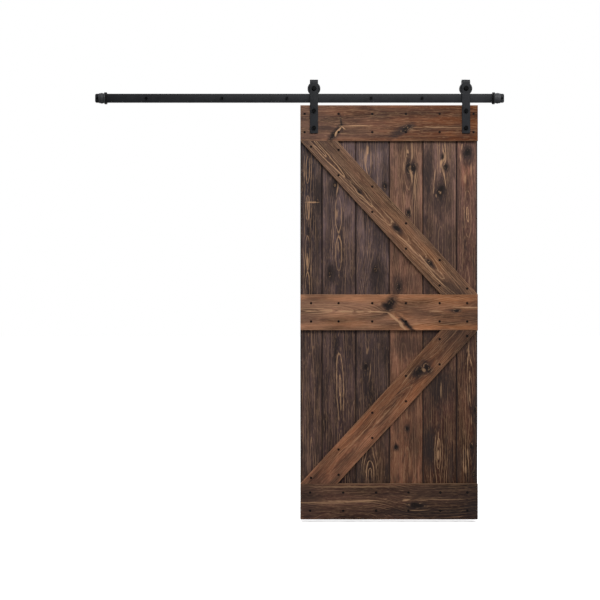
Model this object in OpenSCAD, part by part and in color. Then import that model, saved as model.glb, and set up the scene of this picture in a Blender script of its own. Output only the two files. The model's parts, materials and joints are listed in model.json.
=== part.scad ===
// Sliding barn door: a plank door with a two-field K frame, hung on two J-strap hangers
// whose grooved wheels roll on the top edge of a flat steel track.
// The origin is where the middle lag bolt's axis crosses the wall plane (y = 0).
// +X runs along the track to the right, +Z is up, and the room side faces -Y.

/* [Door] */
// Width of the door
door_w = 914; // [760:1:1100]
// Height of the door
door_h = 2134; // [1780:1:2560]
// Thickness of the planks
plank_t = 20; // [18:0.5:25]
// Face width of the two outer planks
outer_plank_w = 110; // [95:1:150]
// Thickness of the rails and braces that are screwed to the planks
board_t = 15; // [12:0.5:19]
// Width of the top, middle and bottom rails
rail_board_w = 184; // [165:1:221]
// Width of the two diagonal braces
brace_w = 140; // [90:1:168]
// Depth and half width of the V joint between two planks
v_joint = 4; // [2:0.5:5]
// Chamfer along the front edges of the rails and braces
board_ease = 1.5; // [0.5:0.5:3]
// Chamfer along the back edges of the planks
back_ease = 1; // [0.5:0.5:2]

/* [Tongue and groove] */
// Thickness of a plank's tongue
tongue_t = 6; // [5:0.5:8]
// Length of a plank's tongue
tongue_l = 8; // [6:0.5:10]
// Clearance on each face of the tongue
tongue_play = 0.2; // [0.1:0.05:0.5]
// Gap between the shoulders of two planks
shoulder_gap = 0.5; // [0.2:0.1:1]

/* [Wood screws] */
// Diameter of a wood screw's shank
screw_d = 4.5; // [4:0.5:5]
// Diameter of a wood screw's countersunk head
screw_head_d = 9.5; // [8:0.5:11]
// Length of a wood screw
screw_l = 30; // [26:1:32]
// How far a screw's head lies below the board's face
screw_sink = 0.5; // [0.2:0.1:1]
// Distance of the screw rows from a rail's long edges
row_margin = 45; // [30:1:55]
// Offsets of the bottom rail's screws from the planks' middles, from left to right
bottom_offset = [-5, 24, 20, 13, 4, 1]; // [-30:1:30]
// Distance of the screw rows from a brace's long edges
brace_margin = 26; // [20:1:40]
// Distance of the top rail's outermost screws from the door's edges
corner_margin = 22; // [18:1:28]

/* [Track] */
// Length of the track bar
track_l = 2110; // [1750:1:2520]
// Height of the track bar
track_h = 46; // [40:1:56]
// Thickness of the track bar
track_t = 6; // [5:0.5:8]
// Offset of the track's middle from the middle lag bolt
track_mid_x = 65; // [-100:1:100]
// Places of the lag bolts along the track, from the middle one
lag_x = [-725, -335, 0, 434, 697]; // [-730:1:730]
// Radius of the track's rounded corners
track_corner_r = 8; // [4:1:12]
// Gap between the track's lower edge and the door's top
door_gap = 14.5; // [12:0.5:25]

/* [Wall fixing] */
// Length of the standoffs between the wall and the track
standoff_l = 32; // [30:1:45]
// Diameter of the standoffs
standoff_d = 25; // [20:1:30]
// Diameter of the lag bolts' shanks
lag_d = 8; // [7:0.5:10]
// Diameter of the lag bolts' threaded part
lag_thread_d = 7.6; // [6:0.1:9]
// Length of the lag bolts behind the wall plane
lag_bite = 50; // [40:1:70]
// Size across the flats of the lag bolts' hexagon heads
lag_flats = 13; // [12:0.5:17]
// Height of the lag bolts' heads
lag_head_h = 5.3; // [4:0.1:6]
// Diameter of the lag bolts' washers
lag_washer_d = 22; // [18:1:24]
// Thickness of the lag bolts' washers
lag_washer_t = 2; // [1.5:0.1:2.5]

/* [Hangers] */
// Width of the hanger straps
strap_w = 42; // [34:1:50]
// Thickness of the hanger straps
strap_t = 5; // [4:0.5:6]
// Distances of the left and right hangers' middles from the door's side edges
hanger_inset = [70, 61]; // [55:1:80]
// Space between the two legs of a strap
strap_space = 24; // [22:0.5:28]
// Length of a strap's front leg below the door's top
strap_drop = 146; // [130:1:150]
// Height of a strap's bend centre above the axle
bend_rise = 30; // [28:1:45]
// Length of a strap's back leg below the axle
back_leg_drop = 24; // [20:1:26]
// Depth of the upper door bolt below the door's top
bolt_drop = 29; // [26:1:35]
// Distance between the two door bolts of a strap
bolt_pitch = 88; // [70:1:92]
// Corner radius of the straps' ends
strap_corner_r = 4; // [2:0.5:8]

/* [Wheels] */
// Diameter of a wheel over its flanges
wheel_d = 66; // [62:0.5:76]
// Radius at which a wheel rolls on the track's top edge
roll_r = 26; // [24:0.5:28]
// Width of a wheel's rim
wheel_w = 18; // [16:0.5:19]
// Clearance between the track and each side of the groove's bottom
groove_play = 0.7; // [0.4:0.1:1.2]
// Extra half width of the groove at the flanges' tips
groove_flare = 1.5; // [0.5:0.1:2]
// Gap that is kept between the groove and the track's top edge
tread_gap = 0.3; // [0.2:0.05:0.5]

/* [Bearings and axles] */
// Diameter of the axle bolts
axle_d = 12; // [10:0.5:13]
// Outer diameter of a bearing
bearing_od = 32; // [30:0.5:35]
// Width of a bearing
bearing_w = 10; // [9:0.5:11]
// Diameter of a bearing's balls
ball_d = 5.9; // [5:0.1:6]
// Running clearance between the balls and the rings
ball_play = 0.05; // [0.03:0.01:0.1]
// Clearance of fixed fits, such as a ring in its wheel
seat_play = 0.02; // [0.01:0.01:0.05]
// Diameter of the flange under an axle bolt's head
axle_flange_d = 26; // [24:0.5:30]

/* [Door bolts] */
// Diameter of the bolts that hold a strap to the door
bolt_d = 12; // [10:0.5:12]
// Size across the flats of the door bolts' and axles' hexagons
bolt_flats = 19; // [17:0.5:20]
// Height of the door bolts' heads
bolt_head_h = 7.5; // [6:0.5:8]
// Diameter of the washers under the door bolts' heads
washer_d = 24; // [22:1:28]
// Thickness of the washers under the door bolts' heads
washer_t = 2.5; // [1.5:0.1:3]
// Diameter of the sleeve nuts' barrels
sleeve_d = 16; // [15:0.5:18]
// Diameter of the sleeve nuts' flanges on the door's back
sleeve_flange_d = 26; // [22:0.5:30]

/* [End stops] */
// Length of an end stop
stop_l = 41; // [36:1:52]
// Length of track that stands out past an end stop
track_end = 20; // [12:1:26]
// Wall of an end stop around the track's corners
stop_wall = 2.2; // [1.5:0.1:3]
// How far an end stop's flange stands out of its barrel
stop_rim = 6; // [4:0.5:8]
// Thickness of an end stop's rubber bumper
bumper_t = 5.5; // [5:0.5:8]
// Thickness of an end stop's flange
stop_flange_t = 7; // [6:0.5:9]
// How far the door's right wheel stands from its end stop
rest_gap = 109.5; // [60:0.5:200]

/* [Hidden] */
$fn = 72;

plank_count = 6;
left = 0;
right = 1;
over = 1;              // how far a cutting shape runs past the face it cuts
screw_fit = 0.05;      // radial clearance of the wood screws and threads
bolt_hole_play = 0.5;  // radial clearance of the bolt holes

// depths, from the wall plane towards the room
track_back = -standoff_l;
track_front = track_back - track_t;
track_mid_y = (track_front + track_back) / 2;
front_leg_in = track_mid_y - strap_space / 2;
front_leg_out = front_leg_in - strap_t;
back_leg_in = track_mid_y + strap_space / 2;
back_leg_out = back_leg_in + strap_t;
door_front = front_leg_in;
plank_front = door_front + board_t;
door_back = plank_front + plank_t;

// heights, from the track's middle
track_top = track_h / 2;
axle_z = track_top + roll_r;
bend_z = axle_z + bend_rise;
door_top = -track_top - door_gap;
door_bottom = door_top - door_h;
field_h = (door_h - 3 * rail_board_w) / 2;
top_rail_z = door_top - rail_board_w;
middle_rail_z = top_rail_z - field_h - rail_board_w;
bolt_z = [door_top - bolt_drop, door_top - bolt_drop - bolt_pitch];

// end stops: turned collars around the track
track_half_diagonal = norm([track_h, track_t]) / 2;
stop_barrel_r = track_half_diagonal + stop_wall;
stop_flange_r = stop_barrel_r + stop_rim;
bumper_r = stop_flange_r - 0.5;
stop_in = track_l / 2 - track_end - stop_l;
end_screw_in = track_end / 2 + 1;
slot_play = 0.15;

// the door's place at rest, from the right wheel's distance to its stop
wheel_r = wheel_d / 2;
wheel_reach = sqrt(pow(wheel_r, 2) - pow(axle_z - bumper_r, 2));
hanger_right_x = track_mid_x + stop_in - wheel_reach - rest_gap;
door_x = hanger_right_x + hanger_inset[right] - door_w;
function hanger_x(side) = side == left ? door_x + hanger_inset[left] : hanger_right_x;

// planks: two outer ones and four equal inner ones
inner_plank_w = (door_w - 2 * outer_plank_w) / (plank_count - 2);
function seam_x(i) =
    i == 0 ? 0 : i == plank_count ? door_w : outer_plank_w + (i - 1) * inner_plank_w;
function plank_mid(i) = (seam_x(i) + seam_x(i + 1)) / 2;

// braces: each fills its field from corner to corner
brace_angle = atan2(field_h, door_w) + asin(brace_w / norm([door_w, field_h]));
brace_half_z = brace_w / 2 / cos(brace_angle);
brace_row_z = (brace_w / 2 - brace_margin) / cos(brace_angle);
function brace_mid_z(x) = field_h / 2 - (x - door_w / 2) * tan(brace_angle);

// screw places [x, z] from the door's left edge and the board's or field's lower edge
inner_planks = [1 : plank_count - 2];
function rail_rows(z, xs) =
    [for (x = xs) for (row = [row_margin, rail_board_w - row_margin]) [x, z + row]];
plank_mids = [for (i = [0 : plank_count - 1]) plank_mid(i)];
top_columns = [
    corner_margin, for (i = inner_planks) plank_mid(i), door_w - corner_margin
];
bottom_columns = [for (i = [0 : plank_count - 1]) plank_mid(i) + bottom_offset[i]];
brace_low_tip = (brace_mid_z(plank_mid(5)) + brace_half_z) / 2;
brace_high_tip = field_h - brace_low_tip;
brace_places = [
    [plank_mid(0), brace_high_tip],
    for (i = inner_planks) for (way = [-1, 1])
        [plank_mid(i), brace_mid_z(plank_mid(i)) + way * brace_row_z],
    [plank_mid(5), brace_low_tip]
];
top_screw_places = rail_rows(top_rail_z, top_columns);
middle_screw_places = rail_rows(middle_rail_z, plank_mids);
bottom_screw_places = rail_rows(door_bottom, bottom_columns);
upper_field_z = middle_rail_z + rail_board_w;
lower_field_z = door_bottom + rail_board_w;
upper_screw_places = [for (p = brace_places) [p[0], upper_field_z + p[1]]];
lower_screw_places = [for (p = brace_places) [p[0], lower_field_z + field_h - p[1]]];
all_screw_places = concat(
    top_screw_places, middle_screw_places, bottom_screw_places,
    upper_screw_places, lower_screw_places
);
hanger_places = [
    for (x = [hanger_inset[left], door_w - hanger_inset[right]]) for (z = bolt_z) [x, z]
];

// wood screw proportions
screw_head_h = (screw_head_d - screw_d) / 2;
screw_tip_l = 5;
screw_socket = 3.4;
screw_socket_depth = 2;

// wheel section
groove_half = track_t / 2 + groove_play;
hub_half = bearing_w / 2 + 1;
hub_r = bearing_od / 2 + 3;
face_slope = 3;        // radial run of the wheel's face from its hub out to its rim
rim_chamfer = 1.2;
tip_chamfer = 0.5;

// bearing section
bearing_or = bearing_od / 2;
inner_ring_or = axle_d / 2 + 3.1;
outer_ring_ir = bearing_or - 3.1;
ball_pitch_r = (inner_ring_or + outer_ring_ir) / 2;
race_r = ball_d / 2 + ball_play;
ball_count = 7;
cage_half_t = 0.65;
cage_half_w = ball_d / 2 + 0.85;
pocket_play = 0.1;
seal_t = 0.6;
seal_in = 0.2;         // how far a seal lies inside the bearing's face
seal_gap = 0.3;        // gap between a seal's lip and the inner ring

// bolts, nuts and screws
axle_flange_h = 2.5;
axle_head_h = 9;
axle_nut_h = 10;
axle_tail = 3;         // length of the axle that stands out of its nut
sleeve_l = 18;
sleeve_flange_h = 3;
sleeve_socket_flats = 14;
bolt_end_gap = 3;      // how far a door bolt's end stays inside its sleeve nut
lag_tip_l = 9;
grub_r = 3;
grub_sink = 1.5;
end_screw_r = 3;
end_screw_head_r = 5.5;
end_screw_head_h = 3.2;
bevel = 0.8;           // chamfer on turned and hexagon heads

wood_dark = "#4a3830";
wood_light = "#6e4a34";
steel_black = "#2b2d2f";
bolt_black = "#1a1b1c";
steel_bright = "#a9adb0";
rubber_black = "#1c1c1d";

// a rod along Y from y0 to y1
module rod_y(r, y0, y1) {
    translate([0, y0, 0]) rotate([-90, 0, 0]) cylinder(h = y1 - y0, r = r);
}

// a hexagon prism along Y, sized across its flats
module hex_y(flats, y0, y1) {
    translate([0, y0, 0]) rotate([-90, 0, 0])
        cylinder(h = y1 - y0, d = flats / cos(30), $fn = 6);
}

// a hexagon head from y0 (its chamfered outer end) to y1 (its seat)
module hex_head_y(flats, y0, y1) {
    intersection() {
        hex_y(flats, y0, y1);
        translate([0, y0, 0]) rotate([-90, 0, 0]) union() {
            cylinder(h = bevel * 1.5, r1 = flats / 2, r2 = flats / 2 + bevel * 2);
            translate([0, 0, bevel * 1.5]) cylinder(h = y1 - y0 - bevel * 1.5, d = flats * 1.3);
        }
    }
}

// a washer along Y
module washer_y(d, hole_r, y0, y1) {
    difference() {
        rod_y(d / 2, y0, y1);
        rod_y(hole_r, y0 - over, y1 + over);
    }
}

// children at each [x, z] place of a list that is measured from the door's left edge
module at_door(places) {
    for (p = places) translate([door_x + p[0], 0, p[1]]) children();
}

module at_axle(side) {
    translate([hanger_x(side), track_mid_y, axle_z]) children();
}

// a 2D ring section spun about the wheel's axis, which lies along Y
module spin_y() {
    rotate([-90, 0, 0]) rotate_extrude() children();
}

// ---- planks -------------------------------------------------------------------------

// section of a plank: x across the face, y from its front to its back
module plank_section(w, has_groove, has_tongue) {
    tongue_y = (plank_t - tongue_t) / 2;
    difference() {
        union() {
            square([w, plank_t]);
            if (has_tongue) translate([w - over, tongue_y]) square([tongue_l + over, tongue_t]);
        }
        for (x = [0, w]) {
            translate([x, 0]) rotate(45) square(v_joint * sqrt(2), center = true);
            translate([x, plank_t]) rotate(45) square(back_ease * sqrt(2), center = true);
        }
        if (has_groove) translate([-over, tongue_y - tongue_play])
            square([tongue_l + over + 1, tongue_t + 2 * tongue_play]);
    }
}

// the pilot hole of a wood screw, behind the board it holds
module screw_pilot() {
    rod_y(screw_d / 2 + screw_fit, plank_front - over, door_front + screw_sink + screw_l + 0.5);
}

module plank(i) {
    x0 = seam_x(i) + (i > 0 ? shoulder_gap / 2 : 0);
    x1 = seam_x(i + 1) - (i < plank_count - 1 ? shoulder_gap / 2 : 0);
    reach = sleeve_d + tongue_l;
    near = [for (p = all_screw_places) if (p[0] > x0 - reach && p[0] < x1 + reach) p];
    color(wood_dark) difference() {
        translate([door_x + x0, plank_front, door_bottom])
            linear_extrude(door_h) plank_section(x1 - x0, i > 0, i < plank_count - 1);
        at_door(near) screw_pilot();
        at_door(hanger_places) rod_y(sleeve_d / 2 + 0.1, plank_front - over, door_back + over);
    }
}

// ---- rails and braces ----------------------------------------------------------------

// section of a board: x from its face to its back, y across its width
module board_section(w) {
    polygon([
        [board_ease, 0], [board_t, 0], [board_t, w],
        [board_ease, w], [0, w - board_ease], [0, board_ease]
    ]);
}

// the countersunk clearance hole of a wood screw in a board
module screw_hole() {
    seat = door_front + screw_sink;
    rod_y(screw_d / 2 + screw_fit, seat, plank_front + over);
    rod_y(screw_head_d / 2 + screw_fit, door_front - over, seat + 0.01);
    translate([0, seat, 0]) rotate([-90, 0, 0]) cylinder(
        h = screw_head_h, r1 = screw_head_d / 2 + screw_fit, r2 = screw_d / 2 + screw_fit
    );
}

module rail_board(z, places) {
    difference() {
        translate([door_x, door_front, z]) rotate([90, 0, 90])
            linear_extrude(door_w) board_section(rail_board_w);
        at_door(places) screw_hole();
    }
}

module top_rail() {
    color(wood_light) difference() {
        rail_board(top_rail_z, top_screw_places);
        at_door(hanger_places)
            rod_y(bolt_d / 2 + bolt_hole_play, door_front - over, plank_front + over);
    }
}

module middle_rail() {
    color(wood_light) rail_board(middle_rail_z, middle_screw_places);
}

module bottom_rail() {
    color(wood_light) rail_board(door_bottom, bottom_screw_places);
}

// a long board laid across its field at the brace's angle and cut square to the rails
module brace(field_z, way, places) {
    long = norm([door_w, field_h]) + 2 * brace_w;
    difference() {
        intersection() {
            translate([door_x + door_w / 2, door_front, field_z + field_h / 2])
                rotate([0, way * brace_angle, 0]) translate([-long / 2, 0, -brace_w / 2])
                rotate([90, 0, 90]) linear_extrude(long) board_section(brace_w);
            translate([door_x, door_front - over, field_z])
                cube([door_w, board_t + 2 * over, field_h]);
        }
        at_door(places) screw_hole();
    }
}

module upper_brace() {
    color(wood_light) brace(upper_field_z, 1, upper_screw_places);
}

module lower_brace() {
    color(wood_light) brace(lower_field_z, -1, lower_screw_places);
}

// a countersunk wood screw with a square socket and a pointed end
module wood_screw() {
    head = door_front + screw_sink;
    tip = head + screw_l;
    difference() {
        union() {
            translate([0, head, 0]) rotate([-90, 0, 0])
                cylinder(h = screw_head_h, d1 = screw_head_d, d2 = screw_d);
            rod_y(screw_d / 2, head + screw_head_h - 0.01, tip - screw_tip_l);
            translate([0, tip - screw_tip_l - 0.01, 0]) rotate([-90, 0, 0])
                cylinder(h = screw_tip_l, d1 = screw_d, d2 = 0.6);
        }
        translate([-screw_socket / 2, head - over, -screw_socket / 2])
            cube([screw_socket, screw_socket_depth + over, screw_socket]);
    }
}

module wood_screws(places) {
    color(bolt_black) at_door(places) wood_screw();
}

// ---- hangers ---------------------------------------------------------------------------

// side view of the strap: x is the depth, y is the height
module strap_section() {
    outer_r = strap_space / 2 + strap_t;
    low = door_top - strap_drop;
    back_low = axle_z - back_leg_drop;
    translate([front_leg_out, low]) square([strap_t, bend_z - low]);
    translate([back_leg_in, back_low]) square([strap_t, bend_z - back_low]);
    translate([track_mid_y, bend_z]) intersection() {
        difference() {
            circle(outer_r);
            circle(strap_space / 2);
        }
        translate([-outer_r, 0]) square([2 * outer_r, outer_r]);
    }
}

// front view of a leg: a bar with rounded lower corners
module leg_outline(low, high) {
    r = strap_corner_r;
    translate([-strap_w / 2, low + r]) square([strap_w, high - low - r]);
    translate([-strap_w / 2 + r, low]) square([strap_w - 2 * r, r + over]);
    for (way = [-1, 1]) translate([way * (strap_w / 2 - r), low + r]) circle(r);
}

module leg_cutter(low, y0, y1) {
    high = bend_z + strap_space + strap_t;
    translate([0, y1, 0]) rotate([90, 0, 0]) linear_extrude(y1 - y0) leg_outline(low, high);
}

module hanger_strap(side) {
    color(steel_black) translate([hanger_x(side), 0, 0]) difference() {
        intersection() {
            rotate([90, 0, 90]) linear_extrude(strap_w, center = true) strap_section();
            union() {
                leg_cutter(door_top - strap_drop, front_leg_out - over, track_mid_y);
                leg_cutter(axle_z - back_leg_drop, track_mid_y, back_leg_out + over);
            }
        }
        translate([0, 0, axle_z])
            rod_y(axle_d / 2 + seat_play, front_leg_out - over, back_leg_out + over);
        for (z = bolt_z) translate([0, 0, z])
            rod_y(bolt_d / 2 + bolt_hole_play, front_leg_out - over, front_leg_in + over);
    }
}

module at_door_bolts(side) {
    for (z = bolt_z) translate([hanger_x(side), 0, z]) children();
}

module door_bolts(side) {
    seat = front_leg_out - washer_t;
    color(bolt_black) at_door_bolts(side) {
        hex_head_y(bolt_flats, seat - bolt_head_h, seat);
        rod_y(bolt_d / 2, seat - over, door_back - bolt_end_gap);
    }
}

module door_washers(side) {
    color(steel_black) at_door_bolts(side) washer_y(
        washer_d, bolt_d / 2 + bolt_hole_play / 2, front_leg_out - washer_t, front_leg_out
    );
}

// a flanged barrel nut that is pushed into the door from behind
module sleeve_nuts(side) {
    color(steel_black) at_door_bolts(side) difference() {
        union() {
            rod_y(sleeve_d / 2, door_back - sleeve_l, door_back + over);
            rod_y(sleeve_flange_d / 2, door_back, door_back + sleeve_flange_h);
        }
        rod_y(bolt_d / 2 + screw_fit, door_back - sleeve_l - over, door_back + over);
        hex_y(sleeve_socket_flats, door_back + 0.5, door_back + sleeve_flange_h + over);
    }
}

module axle_bolt(side) {
    color(bolt_black) translate([hanger_x(side), 0, axle_z]) {
        hex_head_y(bolt_flats, front_leg_out - axle_head_h, front_leg_out - axle_flange_h + 0.5);
        rod_y(axle_flange_d / 2, front_leg_out - axle_flange_h, front_leg_out);
        rod_y(axle_d / 2, front_leg_out - over, back_leg_out + axle_nut_h + axle_tail);
    }
}

// two tubes that centre the bearing between the strap's legs
module axle_spacers(side) {
    half = bearing_w / 2;
    color(steel_bright) at_axle(side) for (span = [[-strap_space / 2, -half], [half, strap_space / 2]])
        washer_y(2 * inner_ring_or - 0.6, axle_d / 2 + seat_play, span[0], span[1]);
}

module axle_nut(side) {
    color(bolt_black) translate([hanger_x(side), 0, axle_z]) difference() {
        mirror([0, 1, 0]) hex_head_y(bolt_flats, -back_leg_out - axle_nut_h, -back_leg_out);
        rod_y(axle_d / 2 + screw_fit, back_leg_out - over, back_leg_out + axle_nut_h + over);
    }
}

// ---- wheels and bearings -----------------------------------------------------------------

// the wheel's section on one side of its middle plane, from its bore round to its groove,
// as [radius, distance from the middle plane]
half_rim = wheel_w / 2;
tip_half = groove_half + groove_flare;
wheel_side = [
    [bearing_or + seat_play, hub_half], [hub_r, hub_half],
    [hub_r + face_slope, half_rim], [wheel_r - rim_chamfer, half_rim],
    [wheel_r, half_rim - rim_chamfer], [wheel_r, tip_half + tip_chamfer],
    [wheel_r - tip_chamfer, tip_half], [roll_r - tread_gap, groove_half]
];

module wheel(side) {
    last = len(wheel_side) - 1;
    color(steel_black) at_axle(side) spin_y() polygon(concat(
        wheel_side, [for (i = [last : -1 : 0]) [wheel_side[i][0], -wheel_side[i][1]]]
    ));
}

module bearing_ring(r0, r1) {
    spin_y() difference() {
        translate([r0, -bearing_w / 2]) square([r1 - r0, bearing_w]);
        translate([ball_pitch_r, 0]) circle(race_r);
    }
}

module bearing_inner_ring(side) {
    color(steel_bright) at_axle(side) bearing_ring(axle_d / 2 + seat_play, inner_ring_or);
}

module bearing_outer_ring(side) {
    color(steel_bright) at_axle(side) bearing_ring(outer_ring_ir, bearing_or);
}

module bearing_seals(side) {
    far = bearing_w / 2 - seal_in;
    color(rubber_black) at_axle(side) for (y = [-far, far - seal_t]) difference() {
        rod_y(outer_ring_ir - seat_play, y, y + seal_t);
        rod_y(inner_ring_or + seal_gap, y - over, y + seal_t + over);
    }
}

module at_balls() {
    for (i = [0 : ball_count - 1])
        rotate([0, i * 360 / ball_count, 0]) translate([ball_pitch_r, 0, 0]) children();
}

module bearing_balls(side) {
    color(steel_bright) at_axle(side) at_balls() sphere(d = ball_d, $fn = 24);
}

// a plain ring with a round window for each ball
module bearing_cage(side) {
    color("#9c8046") at_axle(side) difference() {
        rod_y(ball_pitch_r + cage_half_t, -cage_half_w, cage_half_w);
        rod_y(ball_pitch_r - cage_half_t, -cage_half_w - over, cage_half_w + over);
        at_balls() rotate([0, 90, 0])
            cylinder(h = 4 * cage_half_t, d = ball_d + 2 * pocket_play, center = true);
    }
}

// ---- track ---------------------------------------------------------------------------------

module at_lags() {
    for (x = lag_x) translate([x, 0, 0]) children();
}

module at_track_ends() {
    for (way = [-1, 1])
        translate([track_mid_x + way * (track_l / 2 - end_screw_in), 0, 0]) children();
}

module track_outline() {
    r = track_corner_r;
    square([track_l, track_h - 2 * r], center = true);
    square([track_l - 2 * r, track_h], center = true);
    for (x = [-1, 1]) for (y = [-1, 1])
        translate([x * (track_l / 2 - r), y * (track_h / 2 - r)]) circle(r);
}

module track_bar() {
    color(steel_black) difference() {
        translate([track_mid_x, track_back, 0]) rotate([90, 0, 0])
            linear_extrude(track_t) track_outline();
        at_lags() rod_y(lag_d / 2 + bolt_hole_play, track_front - over, track_back + over);
        at_track_ends() rod_y(end_screw_r + screw_fit, track_front - over, track_back + over);
    }
}

module standoffs() {
    color(steel_black) at_lags() washer_y(standoff_d, lag_d / 2 + bolt_hole_play, track_back, 0);
}

module lag_washers() {
    color(steel_black) at_lags()
        washer_y(lag_washer_d, lag_d / 2 + bolt_hole_play / 2, track_front - lag_washer_t, track_front);
}

module lag_bolts() {
    seat = track_front - lag_washer_t;
    color(bolt_black) at_lags() {
        hex_head_y(lag_flats, seat - lag_head_h, seat);
        rod_y(lag_d / 2, seat - over, 0);
        rod_y(lag_thread_d / 2, -over, lag_bite - lag_tip_l);
        translate([0, lag_bite - lag_tip_l, 0]) rotate([-90, 0, 0])
            cylinder(h = lag_tip_l, d1 = lag_thread_d, d2 = 1);
    }
}

// button head screws that keep the end stops on the track
module end_screws() {
    color(bolt_black) at_track_ends() difference() {
        union() {
            rod_y(end_screw_r, track_front - over, track_back + 1);
            rod_y(end_screw_head_r, track_front - end_screw_head_h / 2, track_front);
            translate([0, track_front - end_screw_head_h, 0]) rotate([-90, 0, 0]) cylinder(
                h = end_screw_head_h / 2, r1 = end_screw_head_r - 1.8, r2 = end_screw_head_r
            );
        }
        hex_y(4, track_front - end_screw_head_h - over, track_front - 1);
    }
}

// ---- end stops -----------------------------------------------------------------------------

// puts a shape that is spun about X, with x counted outwards from the stop's inner face
module at_stop(side) {
    translate([track_mid_x, track_mid_y, 0]) mirror([side == left ? 1 : 0, 0, 0])
        translate([stop_in, 0, 0]) children();
}

module spin_x() {
    rotate([0, 90, 0]) rotate_extrude() children();
}

module track_slot() {
    translate([-over, -track_t / 2 - slot_play, -track_h / 2 - slot_play])
        cube([stop_l + 2 * over, track_t + 2 * slot_play, track_h + 2 * slot_play]);
}

module grub_hole() {
    translate([bumper_t + stop_flange_t + (stop_l - bumper_t - stop_flange_t) / 2, 0, 0]) children();
}

// section of the turned collar: x is the radius, y runs outwards along the track
module stop_section() {
    lip = stop_flange_t / 2;
    bulge_r = 15;
    barrel_l = stop_l - bumper_t;
    end_bevel = 1;
    translate([0, bumper_t]) {
        square([stop_barrel_r, barrel_l - end_bevel]);
        square([stop_barrel_r - end_bevel, barrel_l]);
        square([stop_flange_r - lip, stop_flange_t]);
        translate([stop_flange_r - lip, lip]) circle(lip);
        translate([stop_barrel_r + 2 - bulge_r, stop_flange_t + (barrel_l - stop_flange_t) / 2])
            intersection() {
                circle(bulge_r);
                translate([0, -bulge_r]) square([bulge_r, 2 * bulge_r]);
            }
    }
}

module end_stop(side) {
    color(steel_black) at_stop(side) difference() {
        spin_x() stop_section();
        track_slot();
        grub_hole() rod_y(grub_r + screw_fit, 0, stop_flange_r);
    }
}

module bumper(side) {
    r = bumper_t / 2;
    color(rubber_black) at_stop(side) difference() {
        spin_x() {
            square([bumper_r - r, bumper_t]);
            translate([bumper_r - r, r]) circle(r);
        }
        track_slot();
    }
}

module stop_grub_screw(side) {
    tail = stop_barrel_r - grub_sink;
    color(bolt_black) at_stop(side) grub_hole() difference() {
        rod_y(grub_r, track_t / 2, tail);
        hex_y(3, tail - 3, tail + over);
    }
}

plank(0);  // plank_1
plank(1);  // plank_2
plank(2);  // plank_3
plank(3);  // plank_4
plank(4);  // plank_5
plank(5);  // plank_6
top_rail();
middle_rail();
bottom_rail();
upper_brace();
lower_brace();
wood_screws(top_screw_places);  // top_rail_screws
wood_screws(middle_screw_places);  // middle_rail_screws
wood_screws(bottom_screw_places);  // bottom_rail_screws
wood_screws(upper_screw_places);  // upper_brace_screws
wood_screws(lower_screw_places);  // lower_brace_screws
hanger_strap(left);  // hanger_strap_left
hanger_strap(right);  // hanger_strap_right
door_bolts(left);  // door_bolts_left
door_bolts(right);  // door_bolts_right
door_washers(left);  // door_washers_left
door_washers(right);  // door_washers_right
sleeve_nuts(left);  // sleeve_nuts_left
sleeve_nuts(right);  // sleeve_nuts_right
axle_bolt(left);  // axle_bolt_left
axle_bolt(right);  // axle_bolt_right
axle_spacers(left);  // axle_spacers_left
axle_spacers(right);  // axle_spacers_right
axle_nut(left);  // axle_nut_left
axle_nut(right);  // axle_nut_right
bearing_inner_ring(left);  // bearing_inner_ring_left
bearing_inner_ring(right);  // bearing_inner_ring_right
wheel(left);  // wheel_left
wheel(right);  // wheel_right
bearing_outer_ring(left);  // bearing_outer_ring_left
bearing_outer_ring(right);  // bearing_outer_ring_right
bearing_seals(left);  // bearing_seals_left
bearing_seals(right);  // bearing_seals_right
bearing_balls(left);  // bearing_balls_left
bearing_balls(right);  // bearing_balls_right
bearing_cage(left);  // bearing_cage_left
bearing_cage(right);  // bearing_cage_right
track_bar();
standoffs();
lag_bolts();
lag_washers();
end_screws();
end_stop(left);  // end_stop_left
end_stop(right);  // end_stop_right
bumper(left);  // bumper_left
bumper(right);  // bumper_right
stop_grub_screw(left);  // stop_grub_screw_left
stop_grub_screw(right);  // stop_grub_screw_right
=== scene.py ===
import json
import math
from functools import partial

import bpy
import numpy as np
from mathutils import Matrix, Vector


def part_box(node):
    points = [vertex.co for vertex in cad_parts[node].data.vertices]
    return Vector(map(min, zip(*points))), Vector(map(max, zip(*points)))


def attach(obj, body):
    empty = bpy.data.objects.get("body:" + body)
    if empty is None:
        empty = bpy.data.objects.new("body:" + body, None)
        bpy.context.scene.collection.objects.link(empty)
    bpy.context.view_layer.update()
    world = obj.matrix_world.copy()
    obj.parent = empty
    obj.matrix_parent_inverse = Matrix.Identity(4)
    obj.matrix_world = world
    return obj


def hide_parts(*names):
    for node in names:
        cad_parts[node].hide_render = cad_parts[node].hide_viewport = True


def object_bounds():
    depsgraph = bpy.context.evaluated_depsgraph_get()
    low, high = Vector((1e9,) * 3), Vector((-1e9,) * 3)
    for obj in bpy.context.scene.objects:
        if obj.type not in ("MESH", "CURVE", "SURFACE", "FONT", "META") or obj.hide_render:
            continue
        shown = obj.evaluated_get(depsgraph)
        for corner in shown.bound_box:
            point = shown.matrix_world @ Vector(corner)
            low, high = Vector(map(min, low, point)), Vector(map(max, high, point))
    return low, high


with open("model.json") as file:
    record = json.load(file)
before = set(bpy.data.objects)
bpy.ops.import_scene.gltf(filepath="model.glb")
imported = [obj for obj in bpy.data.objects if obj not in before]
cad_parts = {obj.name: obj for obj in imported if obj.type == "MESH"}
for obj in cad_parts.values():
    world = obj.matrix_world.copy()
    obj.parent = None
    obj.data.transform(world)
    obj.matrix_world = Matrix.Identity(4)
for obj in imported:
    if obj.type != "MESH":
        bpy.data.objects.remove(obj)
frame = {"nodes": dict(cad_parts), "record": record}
CAD_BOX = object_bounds()

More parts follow.
